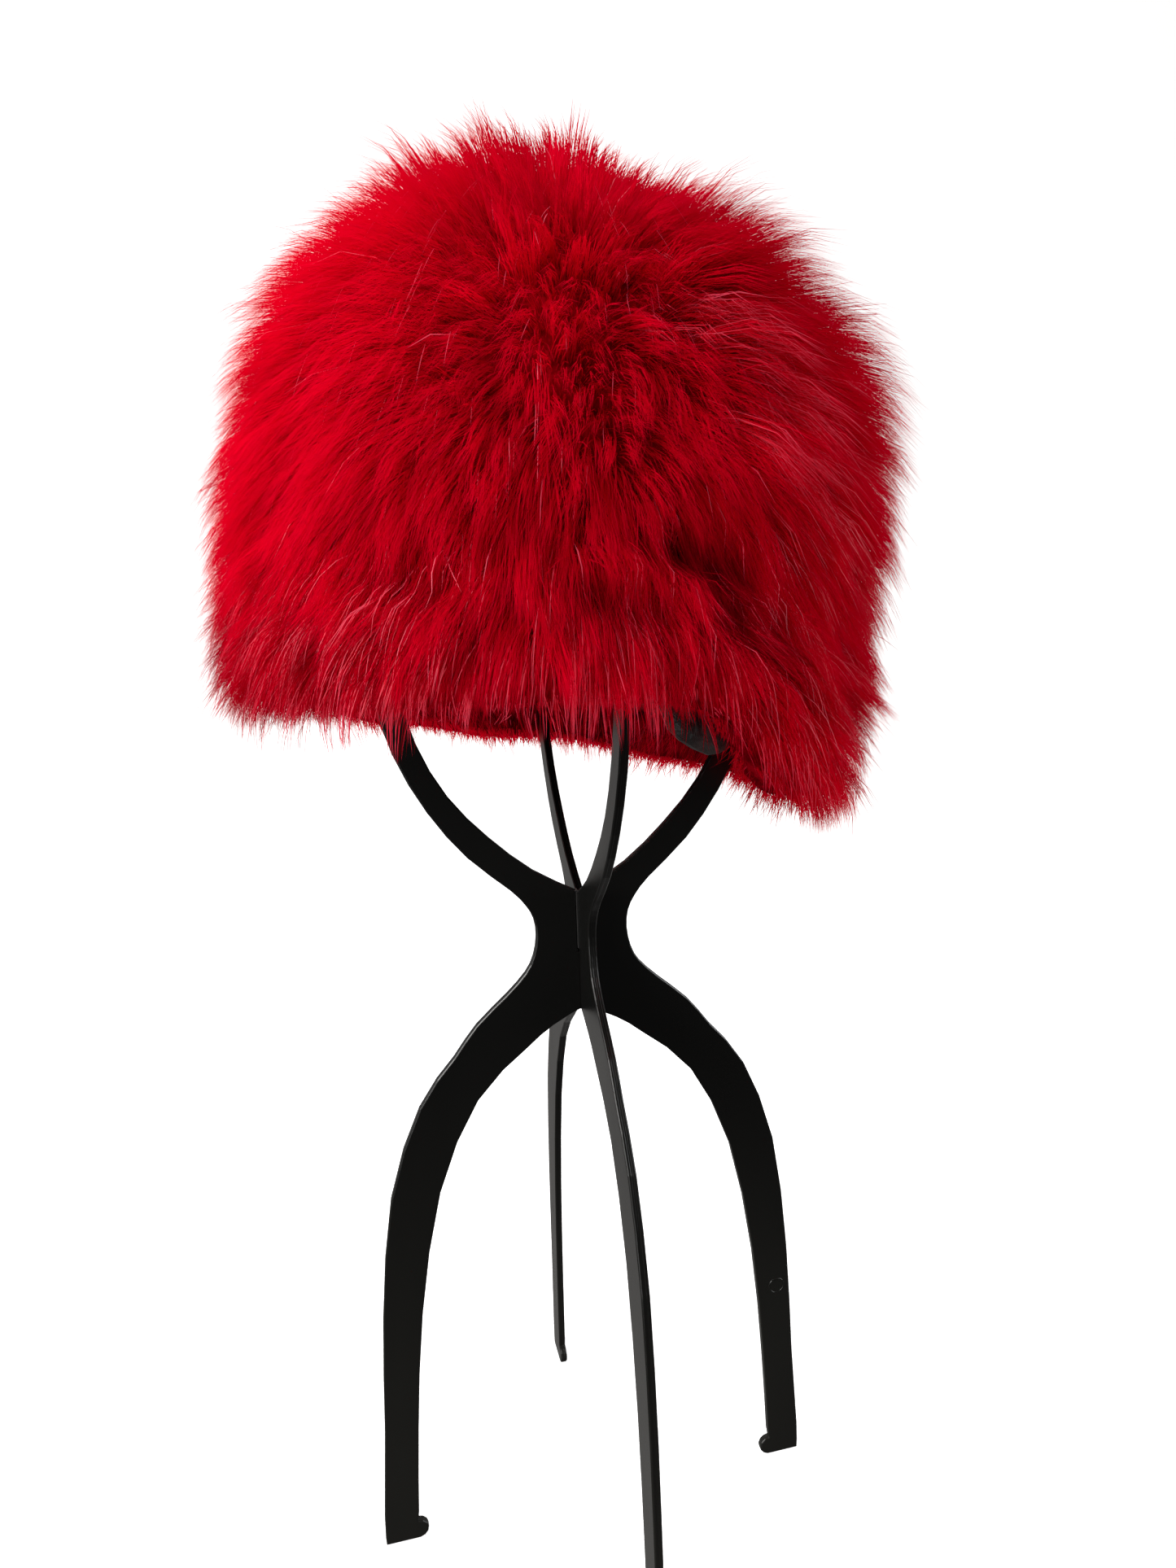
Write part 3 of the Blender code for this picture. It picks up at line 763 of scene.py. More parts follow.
@dataclass
class Strands:
    """Centre lines of strands and what their ribbons and shading need."""

    lines: np.ndarray
    normals: np.ndarray
    width: np.ndarray
    tone: np.ndarray
    pale: np.ndarray
    shade: np.ndarray
    facing_jitter: np.ndarray

    ROOT_WIDTH = 0.55
    WIDENING = 1.6
    POINTING = 2.2
    SOFT_SURFACE = 0.7
    SOFT_RIBBON = 0.6
    ROUNDING = 0.45

    def chosen(self, mask: np.ndarray) -> "Strands":
        """The strands that a mask keeps."""
        return Strands(*(values[mask] for values in vars(self).values()))

    def mesh(self, name: str) -> bpy.types.Mesh:
        """Makes tapered ribbons along the lines, with soft normals.

        Args:
            name: The mesh's name.

        Returns:
            One mesh of all the ribbons.
        """
        count, steps = self.lines.shape[:2]
        along = unit(np.gradient(self.lines, axis=1))
        facing = self.normals[:, None, :] + self.facing_jitter[:, None, :]
        facing = unit(facing - along * np.sum(facing * along, axis=2, keepdims=True))
        side = np.cross(along, facing)
        grow = np.linspace(0.0, 1.0, steps)
        taper = np.minimum(self.ROOT_WIDTH + self.WIDENING * grow, 1.0) * (1.0 - grow ** self.POINTING)
        reach = side * (self.width[:, None] * taper[None, :] / 2.0)[..., None]
        soft = unit(self.normals[:, None, :] * self.SOFT_SURFACE + facing * self.SOFT_RIBBON)
        points = self._ribbons(self.lines, reach)
        shading = self._ribbons(soft, side * self.ROUNDING)
        each = points.shape[1]
        pattern = [step + corner for step in range(0, each - 3, 2) for corner in (0, 1, 3, 2)]
        pattern += [each - 3, each - 2, each - 1]
        sizes = np.array([4] * (steps - 2) + [3])
        first = np.arange(count)[:, None]
        corners = (np.array(pattern)[None, :] + first * each).ravel()
        starts = ((np.cumsum(sizes) - sizes)[None, :] + first * len(pattern)).ravel()
        mesh = mesh_from(name, points.reshape(-1, 3), corners, starts)
        rows = np.concatenate([np.repeat(grow[:-1], 2), [1.0]])
        store(mesh, "grow", np.broadcast_to(rows, (count, each)))
        store(mesh, "tone", np.broadcast_to(self.tone[:, None], (count, each)))
        store(mesh, "pale", np.broadcast_to(self.pale[:, None], (count, each)))
        shade = np.repeat(self.shade[:, :-1], 2, axis=1)
        store(mesh, "shade", np.concatenate([shade, self.shade[:, -1:]], axis=1))
        mesh.normals_split_custom_set_from_vertices(unit(shading).reshape(-1, 3))
        return mesh

    @staticmethod
    def _ribbons(middle: np.ndarray, side: np.ndarray) -> np.ndarray:
        """Sets two vectors at each step but the last, which has one.

        Args:
            middle: Vector in the middle of each step.
            side: What the left one lacks and the right one adds.

        Returns:
            The vectors, as strands by vertices by three.
        """
        count, steps = middle.shape[:2]
        rows = np.empty((count, 2 * (steps - 1) + 1, 3))
        rows[:, 0:-1:2] = (middle - side)[:, :-1]
        rows[:, 1:-1:2] = (middle + side)[:, :-1]
        rows[:, -1] = middle[:, -1]
        return rows


@dataclass(frozen=True)
class Coat:
    """One layer of the pile: how many strands, how long, how steep and how tightly drawn into tufts."""

    name: str
    count: int
    steps: int
    length: float
    width: float
    root_offset: Range
    lift: Range
    wander: float
    tufts: int
    draw_in: float
    hang: Range
    seed: int
    fall: float = 0.22
    bend: float = 1.0
    length_spread: float = 0.22
    climbs: Range = (0.0, 1.0)
    # Whether the coat carries streaks of painted sheen.
    sheen_streaked: bool = False
    pale_share: float = 0.0
    pale_and_sheen_place_share: float = 0.0
    pale_tuft_share: float = 0.0
    pale_depth: Range = (0.3, 1.0)
    split: bool = True


class Zone(Enum):
    """Part of the pile that is one piece, by where its strands grow."""

    FRONT_LEFT = "front_left"
    FRONT_RIGHT = "front_right"
    BACK_RIGHT = "back_right"
    BACK_LEFT = "back_left"
    CROWN = "crown"

    def holds(self, spots: Spots) -> np.ndarray:
        """Tells which spots are in this part.

        Args:
            spots: The spots.

        Returns:
            A mask over the spots.
        """
        crown = spots.climb > CROWN_CLIMB
        if self is Zone.CROWN:
            return crown
        right = np.abs(spots.around) < 90.0
        front = spots.around < 0.0
        return ~crown & (right == (self in (Zone.FRONT_RIGHT, Zone.BACK_RIGHT))) & (
            front == (self in (Zone.FRONT_LEFT, Zone.FRONT_RIGHT)))


@dataclass(frozen=True)
class Lump:
    """Place where something of the pile changes: its middle, how far it spreads, and the change there."""

    around: float
    climb: float
    spread_deg: float
    spread_climb: float
    change: float

    def share(self, spots: Spots) -> np.ndarray:
        """Works out the change.

        Args:
            spots: Where it is wanted.

        Returns:
            The change at each spot.
        """
        across = ((spots.around - self.around + 180.0) % 360.0 - 180.0) / self.spread_deg
        along = (spots.climb - self.climb) / self.spread_climb
        return self.change * np.exp(-across ** 2 - along ** 2)


def total(lumps: tuple[Lump, ...], spots: Spots) -> np.ndarray:
    """All the lumps' changes together at each spot."""
    return sum(lump.share(spots) for lump in lumps)


@dataclass(frozen=True)
class Fold:
    """Dent in the pile along a line, or a swelling if its depth is below 0, with painted shade along it that
    turns to painted light where its shade is below 0.
    """

    line: tuple[Place, ...]
    radius: float
    depth: float
    shade: float

    IGNORED_OFF_CLOTH = 0.8

    def share(self, points: np.ndarray, normals: np.ndarray) -> np.ndarray:
        """Works out how near strand points lie to the line, seen mostly along the strand's normal.

        Args:
            points: Points, as strands by steps by three.
            normals: The cloth's normal under each strand.

        Returns:
            A share for each point, from 0 to 1 on the line.
        """
        ends = np.array(self.line)
        nearest = np.full(points.shape[:-1], np.inf)
        for start, end in zip(ends[:-1], ends[1:]):
            run = end - start
            along = np.clip((points - start) @ run / (run @ run), 0.0, 1.0)
            gap = points - start - along[..., None] * run
            off_cloth = np.sum(gap * normals[:, None], axis=2, keepdims=True)
            gap = gap - normals[:, None] * off_cloth * self.IGNORED_OFF_CLOTH
            nearest = np.minimum(nearest, np.sum(gap ** 2, axis=-1))
        return np.exp(-nearest / self.radius ** 2)


@dataclass(frozen=True)
class Drift:
    """Smooth random vectors over space."""

    scale: float
    offset: float

    def at(self, points: np.ndarray) -> np.ndarray:
        """The vector at each point."""
        shift = Vector((self.offset,) * 3)
        return np.array([noise.noise_vector(Vector(point) * self.scale + shift) for point in points])


@dataclass(frozen=True)
class Ruffle:
    """Amount that is larger where the pile stands up, and larger again low on the hat."""

    calm: float
    rough: float
    low: float = 0.0

    def at(self, rough: np.ndarray, low: np.ndarray) -> np.ndarray:
        """The amount where the pile is so rough and so low."""
        return self.calm + self.rough * rough + self.low * low


@dataclass(frozen=True)
class Variation:
    """How the tufts of a coat differ from each other, and the strands from their tuft."""

    rough_from: Range = (0.30, 0.80)
    low_from: Range = (0.03, 0.32)
    wander: Ruffle = Ruffle(0.34, 0.60, 0.50)
    pull: Ruffle = Ruffle(0.42, 0.70, 0.40)
    # How strongly painted shade darkens tufts: more where the pile stands up and low on the hat.
    shade_mottle: Ruffle = Ruffle(0.08, 0.50, 0.78)
    turn: Ruffle = Ruffle(0.12, 0.10)
    wander_drift: Drift = Drift(110.0, 3.0)
    length_drift: Drift = Drift(120.0, 9.0)
    clump_drift: Drift = Drift(190.0, 21.0)
    tuft_wander: float = 0.8
    tuft_wander_drift: float = 2.6
    tuft_length: Range = (-1.0, 0.6)
    tuft_length_drift: float = 0.22
    own_wander: float = 0.32
    own_length: Range = (-0.8, 0.6)
    own_hang: Range = (-0.002, 0.003)
    own_pull: Range = (0.6, 1.1)
    own_turn: float = 0.08
    stray_share: float = 0.04
    stray_pull: float = 0.15
    pull_power: float = 1.3
    most_pull: float = 0.95
    # Painted shade of whole tufts, in smooth patches and at random.
    clump_from: Range = (0.05, 0.40)
    clump_shade: float = 0.6
    tuft_shade: float = 0.5
    tone: Range = (0.5, 0.16)
    own_tone: float = 0.07
    width: Range = (0.7, 1.15)
    sparse_share: float = 0.32
    sparse_gain: Range = (1.0, 1.8)
    other_gain: float = 0.05
    pale_tuft: Range = (0.2, 0.7)
    # How pale the streaks of painted sheen make their tufts.
    sheen_streak: Range = (0.20, 0.60)
    pale_widening: float = 0.9
    pale_unshading: float = 0.75
    pale_enough: float = 0.30


@dataclass
class Tufts:
    """Tufts of one coat, and which of them each strand joins."""

    roots: Spots
    nearest: np.ndarray
    rough: np.ndarray
    low: np.ndarray
    wander: np.ndarray
    length: np.ndarray
    hang: np.ndarray
    guides: np.ndarray


@dataclass(frozen=True)
class InnerHair:
    """Hair under the hem, which hangs down, and on its turned-in side, which lies inward."""

    seed: int = 22
    count: int = 9000
    steps: int = 4
    tufts: int = 900
    beneath_share: float = 0.45
    rows: Range = (0.0, 4.0)
    under: Range = (-0.2, 1.0)
    off_turn: float = 0.001
    outside: float = 0.004
    drop_share: float = 0.7
    beneath_length: Range = (0.003, 0.008)
    turned_length: Range = (0.007, 0.014)
    own_length: Range = (0.7, 1.2)
    hang_gain: float = 90.0
    tuft_lean: float = 0.22
    own_lean: float = 0.12
    inward: float = 0.35
    down: float = 0.9
    pale_share: float = 0.10
    pale: Range = (0.04, 0.3)
    width: Range = (0.0003, 0.0005)
    tone: Range = (0.2, 0.9)
    turn: float = 0.2

    def strands(self, pile: "Pile") -> Strands:
        """Grows the hair.

        Args:
            pile: The pile whose hem it grows under.

        Returns:
            The strands.
        """
        draws = np.random.default_rng(self.seed)
        column = draws.uniform(0.0, pile.scalp.COLUMNS, self.count)
        beneath = draws.random(self.count) < self.beneath_share
        spots = pile.scalp.spots(np.where(beneath, 0.0, draws.uniform(*self.rows, self.count)), column)
        under = draws.uniform(*self.under, self.count) * beneath
        inward = (pile.hem_depth + self.off_turn) * (1.0 - under) - self.outside * under
        start = spots.points - spots.normals * inward[:, None]
        start[:, 2] -= pile.hem_drop(spots) * self.drop_share * beneath
        tuft = (column / pile.scalp.COLUMNS * self.tufts).astype(int)
        length = np.where(beneath, draws.uniform(*self.beneath_length, self.tufts)[tuft],
                          draws.uniform(*self.turned_length, self.tufts)[tuft])
        length = length * draws.uniform(*self.own_length, self.count)
        length = length * np.where(beneath, 1.0 + total(pile.hangs, spots) * self.hang_gain, 1.0)
        lean = draws.normal(0.0, self.tuft_lean, (self.tufts, 3))[tuft]
        lean = lean + draws.normal(0.0, self.own_lean, (self.count, 3))
        heading = -spots.normals * self.inward + lean
        heading[:, 2] -= self.down
        line = [start]
        for _ in range(self.steps - 1):
            line.append(line[-1] + unit(heading) * (length / (self.steps - 1))[:, None])
        lines = np.stack(line, axis=1)
        pale = np.where(draws.random(self.count) < self.pale_share, self.pale[1], self.pale[0])
        return Strands(lines, -spots.normals, draws.uniform(*self.width, self.count),
                       draws.uniform(*self.tone, self.count), pale, np.zeros(lines.shape[:2]),
                       draws.normal(0.0, self.turn, (self.count, 3)))


@dataclass
class Pile:
    """The hat's long pile, made of coats of strands over a matted undercoat.

    The rings that take the undercoat round the hem are pairs of shares: of the way off the cloth, and
    of the hem's hang. The lumps change the strands' length, the sheen streaks the chance of painted
    sheen, the pale places the chance of pale tufts, which are pale hairs at the hem and painted sheen
    on the right, the hangs how low the hem hangs, in metres, and the shade lumps how much painted
    shade darkens the pile.
    """

    scalp: Scalp
    nap: Nap = Nap()
    vary: Variation = Variation()
    inner: InnerHair = InnerHair()
    undercoat_offset: float = 0.0075
    undercoat_rings: int = 60
    undercoat_top: float = 0.995
    undercoat_relief: float = 0.0006
    undercoat_scale: float = 140.0
    hem_hang: float = 0.0045
    hem_raise_share: float = 0.7
    hem_turn: float = 0.0160
    hem_depth: float = 0.0050
    hem_outside: tuple[Range, ...] = ((0.8, 0.6), (0.3, 1.0))
    hem_inside: tuple[Range, ...] = ((0.6, 0.8), (1.0, 0.2))
    turned_rings: int = 4
    near_rim: float = 0.16
    rim_flattening: float = 0.3
    rim_fall: float = 0.28
    bend_from: float = 0.6
    wander_start: float = 0.4
    flow_start: float = 0.45
    flow_gain: float = 0.75
    shortest: float = 0.12
    box_share: float = 0.03
    box_room: float = 0.0075
    stands_from: Range = (0.35, 0.75)
    standing_loss: float = 0.45
    loose_from: Range = (0.006, 0.016)
    lumps: tuple[Lump, ...] = (
        Lump(-30.0, 0.03, 22.0, 0.11, -0.62),
        Lump(-31.0, 0.13, 14.0, 0.06, -0.22),
        Lump(-33.0, 0.30, 12.0, 0.08, -0.14),
        Lump(-38.0, 0.60, 8.0, 0.06, 0.36),
        Lump(-46.0, 0.64, 5.0, 0.045, -0.78),
        Lump(-54.0, 0.68, 7.0, 0.05, 0.08),
        Lump(-62.0, 0.72, 7.0, 0.05, 0.22),
        Lump(-78.0, 0.71, 9.0, 0.07, -0.22),
        Lump(-97.0, 0.73, 7.0, 0.07, 0.12),
        Lump(-107.0, 0.72, 6.0, 0.05, 0.28),
        Lump(-123.0, 0.71, 6.0, 0.05, -0.18),
        Lump(-132.0, 0.72, 7.0, 0.05, 0.10),
        Lump(-143.0, 0.67, 8.0, 0.06, -0.80),
        Lump(-155.0, 0.62, 6.0, 0.05, 0.10),
        Lump(-172.0, 0.36, 10.0, 0.07, 0.26),
        Lump(-170.0, 0.20, 9.0, 0.05, -0.14),
        Lump(-164.0, 0.04, 10.0, 0.05, 0.25),
        Lump(-168.0, 0.42, 13.0, 0.14, -0.20),
    )
    # Painted sheen: pale streaks on the right of the hat, and a few at the hem.
    sheen_streaks: tuple[Lump, ...] = (
        Lump(-80.0, 0.49, 8.0, 0.040, 0.70),
        Lump(-68.0, 0.46, 10.0, 0.060, 0.60),
        Lump(-68.0, 0.38, 9.0, 0.050, 0.50),
        Lump(-50.0, 0.25, 14.0, 0.20, 0.22),
        Lump(-58.0, 0.04, 14.0, 0.09, 0.20),
        Lump(-142.0, 0.05, 26.0, 0.08, 0.30),
        Lump(-104.0, 0.02, 14.0, 0.05, 0.15),
    )
    # Pale hairs at the left and front hem, and painted sheen on the right, at -58 and -70 degrees.
    pale_and_sheen_places: tuple[Lump, ...] = (
        Lump(-148.0, 0.06, 36.0, 0.12, 1.0),
        Lump(-100.0, 0.02, 24.0, 0.06, 0.7),
        Lump(-58.0, 0.10, 20.0, 0.14, 0.8),
        Lump(-70.0, 0.42, 16.0, 0.13, 0.6),
    )
    hangs: tuple[Lump, ...] = (
        Lump(-104.0, 0.0, 18.0, 9.0, -0.0040),
        Lump(-158.0, 0.0, 16.0, 9.0, 0.0072),
        Lump(-79.0, 0.0, 6.0, 9.0, -0.0060),
        Lump(-68.0, 0.0, 5.0, 9.0, -0.0055),
        Lump(-52.0, 0.0, 11.0, 9.0, 0.0100),
        Lump(45.0, 0.0, 50.0, 9.0, -0.0050),
    )
    # Painted shade: darker bands at the hem, darker places in the middle and at the sides, and one lump below
    # 0 that takes painted shade away.
    shade_lumps: tuple[Lump, ...] = (
        Lump(-150.0, 0.02, 42.0, 0.11, 0.80),
        Lump(-98.0, 0.00, 28.0, 0.07, 0.72),
        Lump(-104.0, 0.26, 26.0, 0.16, 0.22),
        Lump(-175.0, 0.28, 20.0, 0.36, 0.34),
        Lump(-92.0, 0.40, 16.0, 0.09, -0.15),
        Lump(-32.0, 0.20, 14.0, 0.35, 0.16),
    )
    # Each dent also paints shade into its crease; the last fold, a swelling, paints light along its ridge.
    folds: tuple[Fold, ...] = (
        Fold(((-0.0160, -0.1140, 0.3702), (-0.0072, -0.1153, 0.3672), (0.0052, -0.1155, 0.3656)),
             0.0042, 0.0054, 0.56),
        Fold(((0.0109, -0.1119, 0.3770), (0.0189, -0.1112, 0.3744), (0.0250, -0.1098, 0.3732)),
             0.0055, 0.0060, 0.80),
        Fold(((0.0181, -0.1145, 0.3632), (0.0260, -0.1132, 0.3603), (0.0362, -0.1097, 0.3562)),
             0.0046, 0.0060, 1.0),
        Fold(((-0.0614, -0.0933, 0.3768), (-0.0544, -0.0995, 0.3727), (-0.0473, -0.1042, 0.3710)),
             0.0040, 0.0040, 0.40),
        Fold(((0.0033, -0.1048, 0.4389), (0.0121, -0.1049, 0.4365)), 0.0070, 0.0035, 0.10),
        Fold(((-0.0099, -0.1125, 0.3785), (0.0118, -0.1139, 0.3687), (0.0157, -0.1153, 0.3596)),
             0.0045, -0.0030, -0.25),
    )
    coats: tuple[Coat, ...] = (
        Coat("short", count=30000, steps=3, length=0.0190, width=0.00060, root_offset=(0.005, 0.005),
             lift=(1.10, 0.45), wander=0.24, tufts=6000, draw_in=0.50, hang=(0.003, 0.008), seed=11),
        Coat("long", count=139000, steps=4, length=0.0313, width=0.00030, root_offset=(0.005, 0.006),
             lift=(0.95, 0.30), wander=0.16, tufts=14000, draw_in=0.50, hang=(0.003, 0.008), seed=12,
             length_spread=0.20, sheen_streaked=True, pale_share=0.0012, pale_and_sheen_place_share=0.009,
             pale_depth=(0.5, 1.0)),
        Coat("stray", count=1100, steps=4, length=0.0115, width=0.00013, root_offset=(0.013, 0.019),
             lift=(0.40, 0.10), wander=0.12, tufts=1100, draw_in=0.0, hang=(0.004, 0.012), seed=13,
             fall=2.0, bend=0.15, pale_share=1.0, pale_depth=(0.5, 1.0), split=False),
        Coat("hem", count=9500, steps=5, length=0.0205, width=0.00019, root_offset=(0.012, 0.018),
             lift=(0.45, 0.12), wander=0.14, tufts=1800, draw_in=0.65, hang=(0.004, 0.020), seed=14,
             fall=0.8, climbs=(0.0, 0.20), pale_share=0.01, pale_and_sheen_place_share=0.34, pale_tuft_share=0.80,
             pale_depth=(0.5, 0.95), split=False),
    )

    def trace(self, spots: Spots, coat: Coat, length: np.ndarray, wander: np.ndarray,
              hang: np.ndarray, root: np.ndarray) -> np.ndarray:
        """Centre lines that start steep and bend over into the nap.

        Args:
            spots: Where the strands grow.
            coat: The layer that they belong to.
            length: Length of each strand.
            wander: Vector for each strand that turns it off the nap.
            hang: How far each tip may hang below the rim.
            root: How far off the cloth each strand starts.

        Returns:
            Points, as strands by steps by three.
        """
        flow = self.nap.flow(spots)
        near_rim = 1.0 - eased(spots.climb, 0.0, self.near_rim)
        line = [spots.points + spots.normals * root[:, None]]
        pace = (length / (coat.steps - 1))[:, None]
        for step in range(coat.steps - 1):
            share = self.bend_from + coat.bend * ((step + 0.5) / (coat.steps - 1) - self.bend_from)
            lift = coat.lift[0] + (coat.lift[1] - coat.lift[0]) * share
            heading = spots.normals * (lift * (1.0 - self.rim_flattening * near_rim))[:, None]
            heading = heading + wander * (self.wander_start + share)
            heading += flow * (self.flow_start + self.flow_gain * share)
            heading[:, 2] -= share ** 2 * (coat.fall + self.rim_fall * near_rim)
            line.append(line[-1] + unit(heading) * pace)
        return self.trimmed(np.stack(line, axis=1), hang)

    def trimmed(self, lines: np.ndarray, hang: np.ndarray) -> np.ndarray:
        """Shortens lines that hang too low or pass too far out of the CAD box.

        Args:
            lines: Points, as strands by steps by three.
            hang: How far each tip may hang below the rim.

        Returns:
            The lines, shortened towards their roots.
        """
        tips = lines[:, -1]
        limit = self.scalp.rim_under(tips) - hang
        drop = np.maximum(lines[:, 0, 2] - tips[:, 2], 1e-6)
        share = np.clip((lines[:, 0, 2] - limit) / drop, self.shortest, 1.0)
        share = np.where(tips[:, 2] < limit, share, 1.0)
        low, high = np.array(CAD_BOX)
        room = (high - low) * self.box_share + self.box_room
        run = tips - lines[:, 0]
        edge = np.where(run > 0.0, high + room, low - room)
        inside = (edge - lines[:, 0]) / np.where(np.abs(run) < 1e-6, 1e-6, run)
        share = np.minimum(share, np.clip(inside, self.shortest, 1.0).min(axis=1))
        return lines[:, :1] + (lines - lines[:, :1]) * share[:, None, None]

    def lengths(self, spots: Spots, coat: Coat, draws: np.random.Generator) -> np.ndarray:
        """Works out how long the tufts are: shorter where the pile stands up, and changed by the lumps.

        Args:
            spots: Where the tufts grow.
            coat: The layer that they belong to.
            draws: Random numbers.

        Returns:
            A length for each tuft.
        """
        base = coat.length * (1.0 - self.standing_loss * self.nap.standing(spots, *self.stands_from))
        base = base * (1.0 + total(self.lumps, spots))
        return base * (1.0 + coat.length_spread * draws.uniform(*self.vary.tuft_length, len(base)))

    def gathered(self, coat: Coat, spots: Spots, draws: np.random.Generator) -> Tufts:
        """Makes a coat's tufts and finds which of them each strand joins.

        Args:
            coat: The layer.
            spots: Where its strands grow.
            draws: Random numbers.

        Returns:
            The tufts.
        """
        vary = self.vary
        roots = self.scalp.scatter(coat.tufts, draws, coat.climbs)
        tree = KDTree(coat.tufts)
        for index, point in enumerate(roots.points):
            tree.insert(point, index)
        tree.balance()
        nearest = np.array([tree.find(point)[1] for point in spots.points])
        rough = self.nap.standing(roots, *vary.rough_from)
        low = 1.0 - eased(roots.climb, *vary.low_from)
        wander = draws.normal(0.0, vary.tuft_wander, (coat.tufts, 3))
        wander = wander + vary.wander_drift.at(roots.points) * vary.tuft_wander_drift
        wander = wander * (coat.wander * vary.wander.at(rough, low)[:, None])
        cloud = vary.length_drift.at(roots.points)[:, 0]
        length = self.lengths(roots, coat, draws) * (1.0 + vary.tuft_length_drift * cloud)
        hang = draws.uniform(*coat.hang, coat.tufts) + total(self.hangs, roots)
        root = draws.uniform(*coat.root_offset, coat.tufts)
        guides = self.trace(roots, coat, length, wander, hang, root)
        return Tufts(roots, nearest, rough, low, wander, length, hang, guides)

    def strands(self, coat: Coat) -> tuple[Strands, Spots]:
        """Grows the strands of one coat and draws them together into tufts.

        Args:
            coat: The layer.

        Returns:
            The strands, and where they grow.
        """
        vary, each = self.vary, coat.count
        draws = np.random.default_rng(coat.seed)
        spots = self.scalp.scatter(each, draws, coat.climbs)
        tufts = self.gathered(coat, spots, draws)
        mine = tufts.nearest
        wander = tufts.wander[mine] + draws.normal(0.0, coat.wander * vary.own_wander, (each, 3))
        strays = draws.random(each) < vary.stray_share
        wander[strays] += draws.normal(0.0, coat.wander, (int(strays.sum()), 3))
        length = tufts.length[mine] * (1.0 + coat.length_spread * draws.uniform(*vary.own_length, each))
        hang = tufts.hang[mine] + draws.uniform(*vary.own_hang, each)
        lines = self.trace(spots, coat, length, wander, hang, draws.uniform(*coat.root_offset, each))
        pull = draws.uniform(*vary.own_pull, each) * vary.pull.at(tufts.rough, tufts.low)[mine]
        pull = coat.draw_in * np.where(strays, vary.stray_pull, pull)[:, None]
        pull = pull * np.linspace(0.0, 1.0, coat.steps) ** vary.pull_power
        lines = lines + (tufts.guides[mine] - lines) * np.clip(pull, 0.0, vary.most_pull)[..., None]
        # Painted shade of dark tufts, stronger where the pile stands up and near the hem.
        clumps = eased(vary.clump_drift.at(tufts.roots.points)[:, 0], *vary.clump_from) * vary.clump_shade
        clumps = clumps + draws.random(coat.tufts) ** 3 * vary.tuft_shade
        lines, shade = self.folded(lines, spots, (clumps * vary.shade_mottle.at(tufts.rough, tufts.low))[mine])
        tone = draws.normal(*vary.tone, coat.tufts)[mine] + draws.normal(0.0, vary.own_tone, each)
        jitter = draws.normal(0.0, 1.0, (coat.tufts, 3)) * vary.turn.at(tufts.rough, tufts.low)[:, None]
        jitter = jitter[mine] + draws.normal(0.0, vary.own_turn, (each, 3))
        pale = self.paleness(coat, spots, tufts, draws)
        shade = shade * (1.0 - vary.pale_unshading * np.clip(pale / vary.pale_enough, 0.0, 1.0))[:, None]
        width = coat.width * draws.uniform(*vary.width, each) * (1.0 + vary.pale_widening * pale)
        return Strands(lines, spots.normals, width, np.clip(tone, 0.0, 1.0), pale, shade, jitter), spots

    def folded(self, lines: np.ndarray, spots: Spots, shade_mottle: np.ndarray) -> tuple[np.ndarray, np.ndarray]:
        """Presses lines into the folds of the pile, and works out their painted shade.

        Args:
            lines: Points, as strands by steps by three.
            spots: Where the strands grow.
            shade_mottle: Painted shade of each strand by itself, for dark tufts.

        Returns:
            The pressed lines, and the painted shade of each of their points.
        """
        rise = np.sum((lines - spots.points[:, None]) * spots.normals[:, None], axis=2)
        loose = eased(rise, *self.loose_from)
        # Painted shade from the lumps of shade and the dark tufts.
        dim = total(self.shade_lumps, spots) + shade_mottle
        shade = np.repeat(dim[:, None], rise.shape[1], axis=1)
        move = np.zeros(rise.shape)
        for fold in self.folds:
            share = fold.share(lines, spots.normals)
            move += fold.depth * share * loose
            # Painted shade in the crease, or painted light on a swelling whose shade is below 0.
            shade += fold.shade * share
        return lines - spots.normals[:, None] * move[..., None], np.clip(shade, 0.0, 1.0)

    def paleness(self, coat: Coat, spots: Spots, tufts: Tufts, draws: np.random.Generator) -> np.ndarray:
        """Works out the pale hairs: single ones, more of them at the hem and where painted sheen is wanted,
        and whole streaks of painted sheen.

        Args:
            coat: The layer that the strands belong to.
            spots: Where the strands grow.
            tufts: The layer's tufts.
            draws: Random numbers.

        Returns:
            A share for each strand, from 0 to 1.
        """
        vary = self.vary

        def drawn(chance: np.ndarray, depth: Range, count: int, otherwise: float = 0.0) -> np.ndarray:
            """Random depths where a chance comes up, and another value elsewhere."""
            return np.where(draws.random(count) < chance, draws.uniform(*depth, count), otherwise)

        # Pale hairs, more of them at the hem, and painted sheen on the right.
        chance = coat.pale_share + coat.pale_and_sheen_place_share * total(self.pale_and_sheen_places, spots)
        single = drawn(chance, coat.pale_depth, coat.count)
        chance = coat.pale_tuft_share * total(self.pale_and_sheen_places, tufts.roots)
        pale_tuft = drawn(chance, vary.pale_tuft, coat.tufts)
        sparse = drawn(vary.sparse_share, vary.sparse_gain, coat.count, vary.other_gain)
        pale = np.maximum(single, pale_tuft[tufts.nearest] * sparse)
        # Streaks of painted sheen over whole tufts.
        if coat.sheen_streaked:
            sheen_streak = drawn(total(self.sheen_streaks, tufts.roots), vary.sheen_streak, coat.tufts)
            pale = np.maximum(pale, sheen_streak[tufts.nearest] * sparse)
        return np.clip(pale, 0.0, 1.0)

    def hem_drop(self, spots: Spots) -> np.ndarray:
        """How far the matted hem hangs below the rim at each spot."""
        return self.hem_hang + np.minimum(total(self.hangs, spots) * self.hem_raise_share, 0.0)

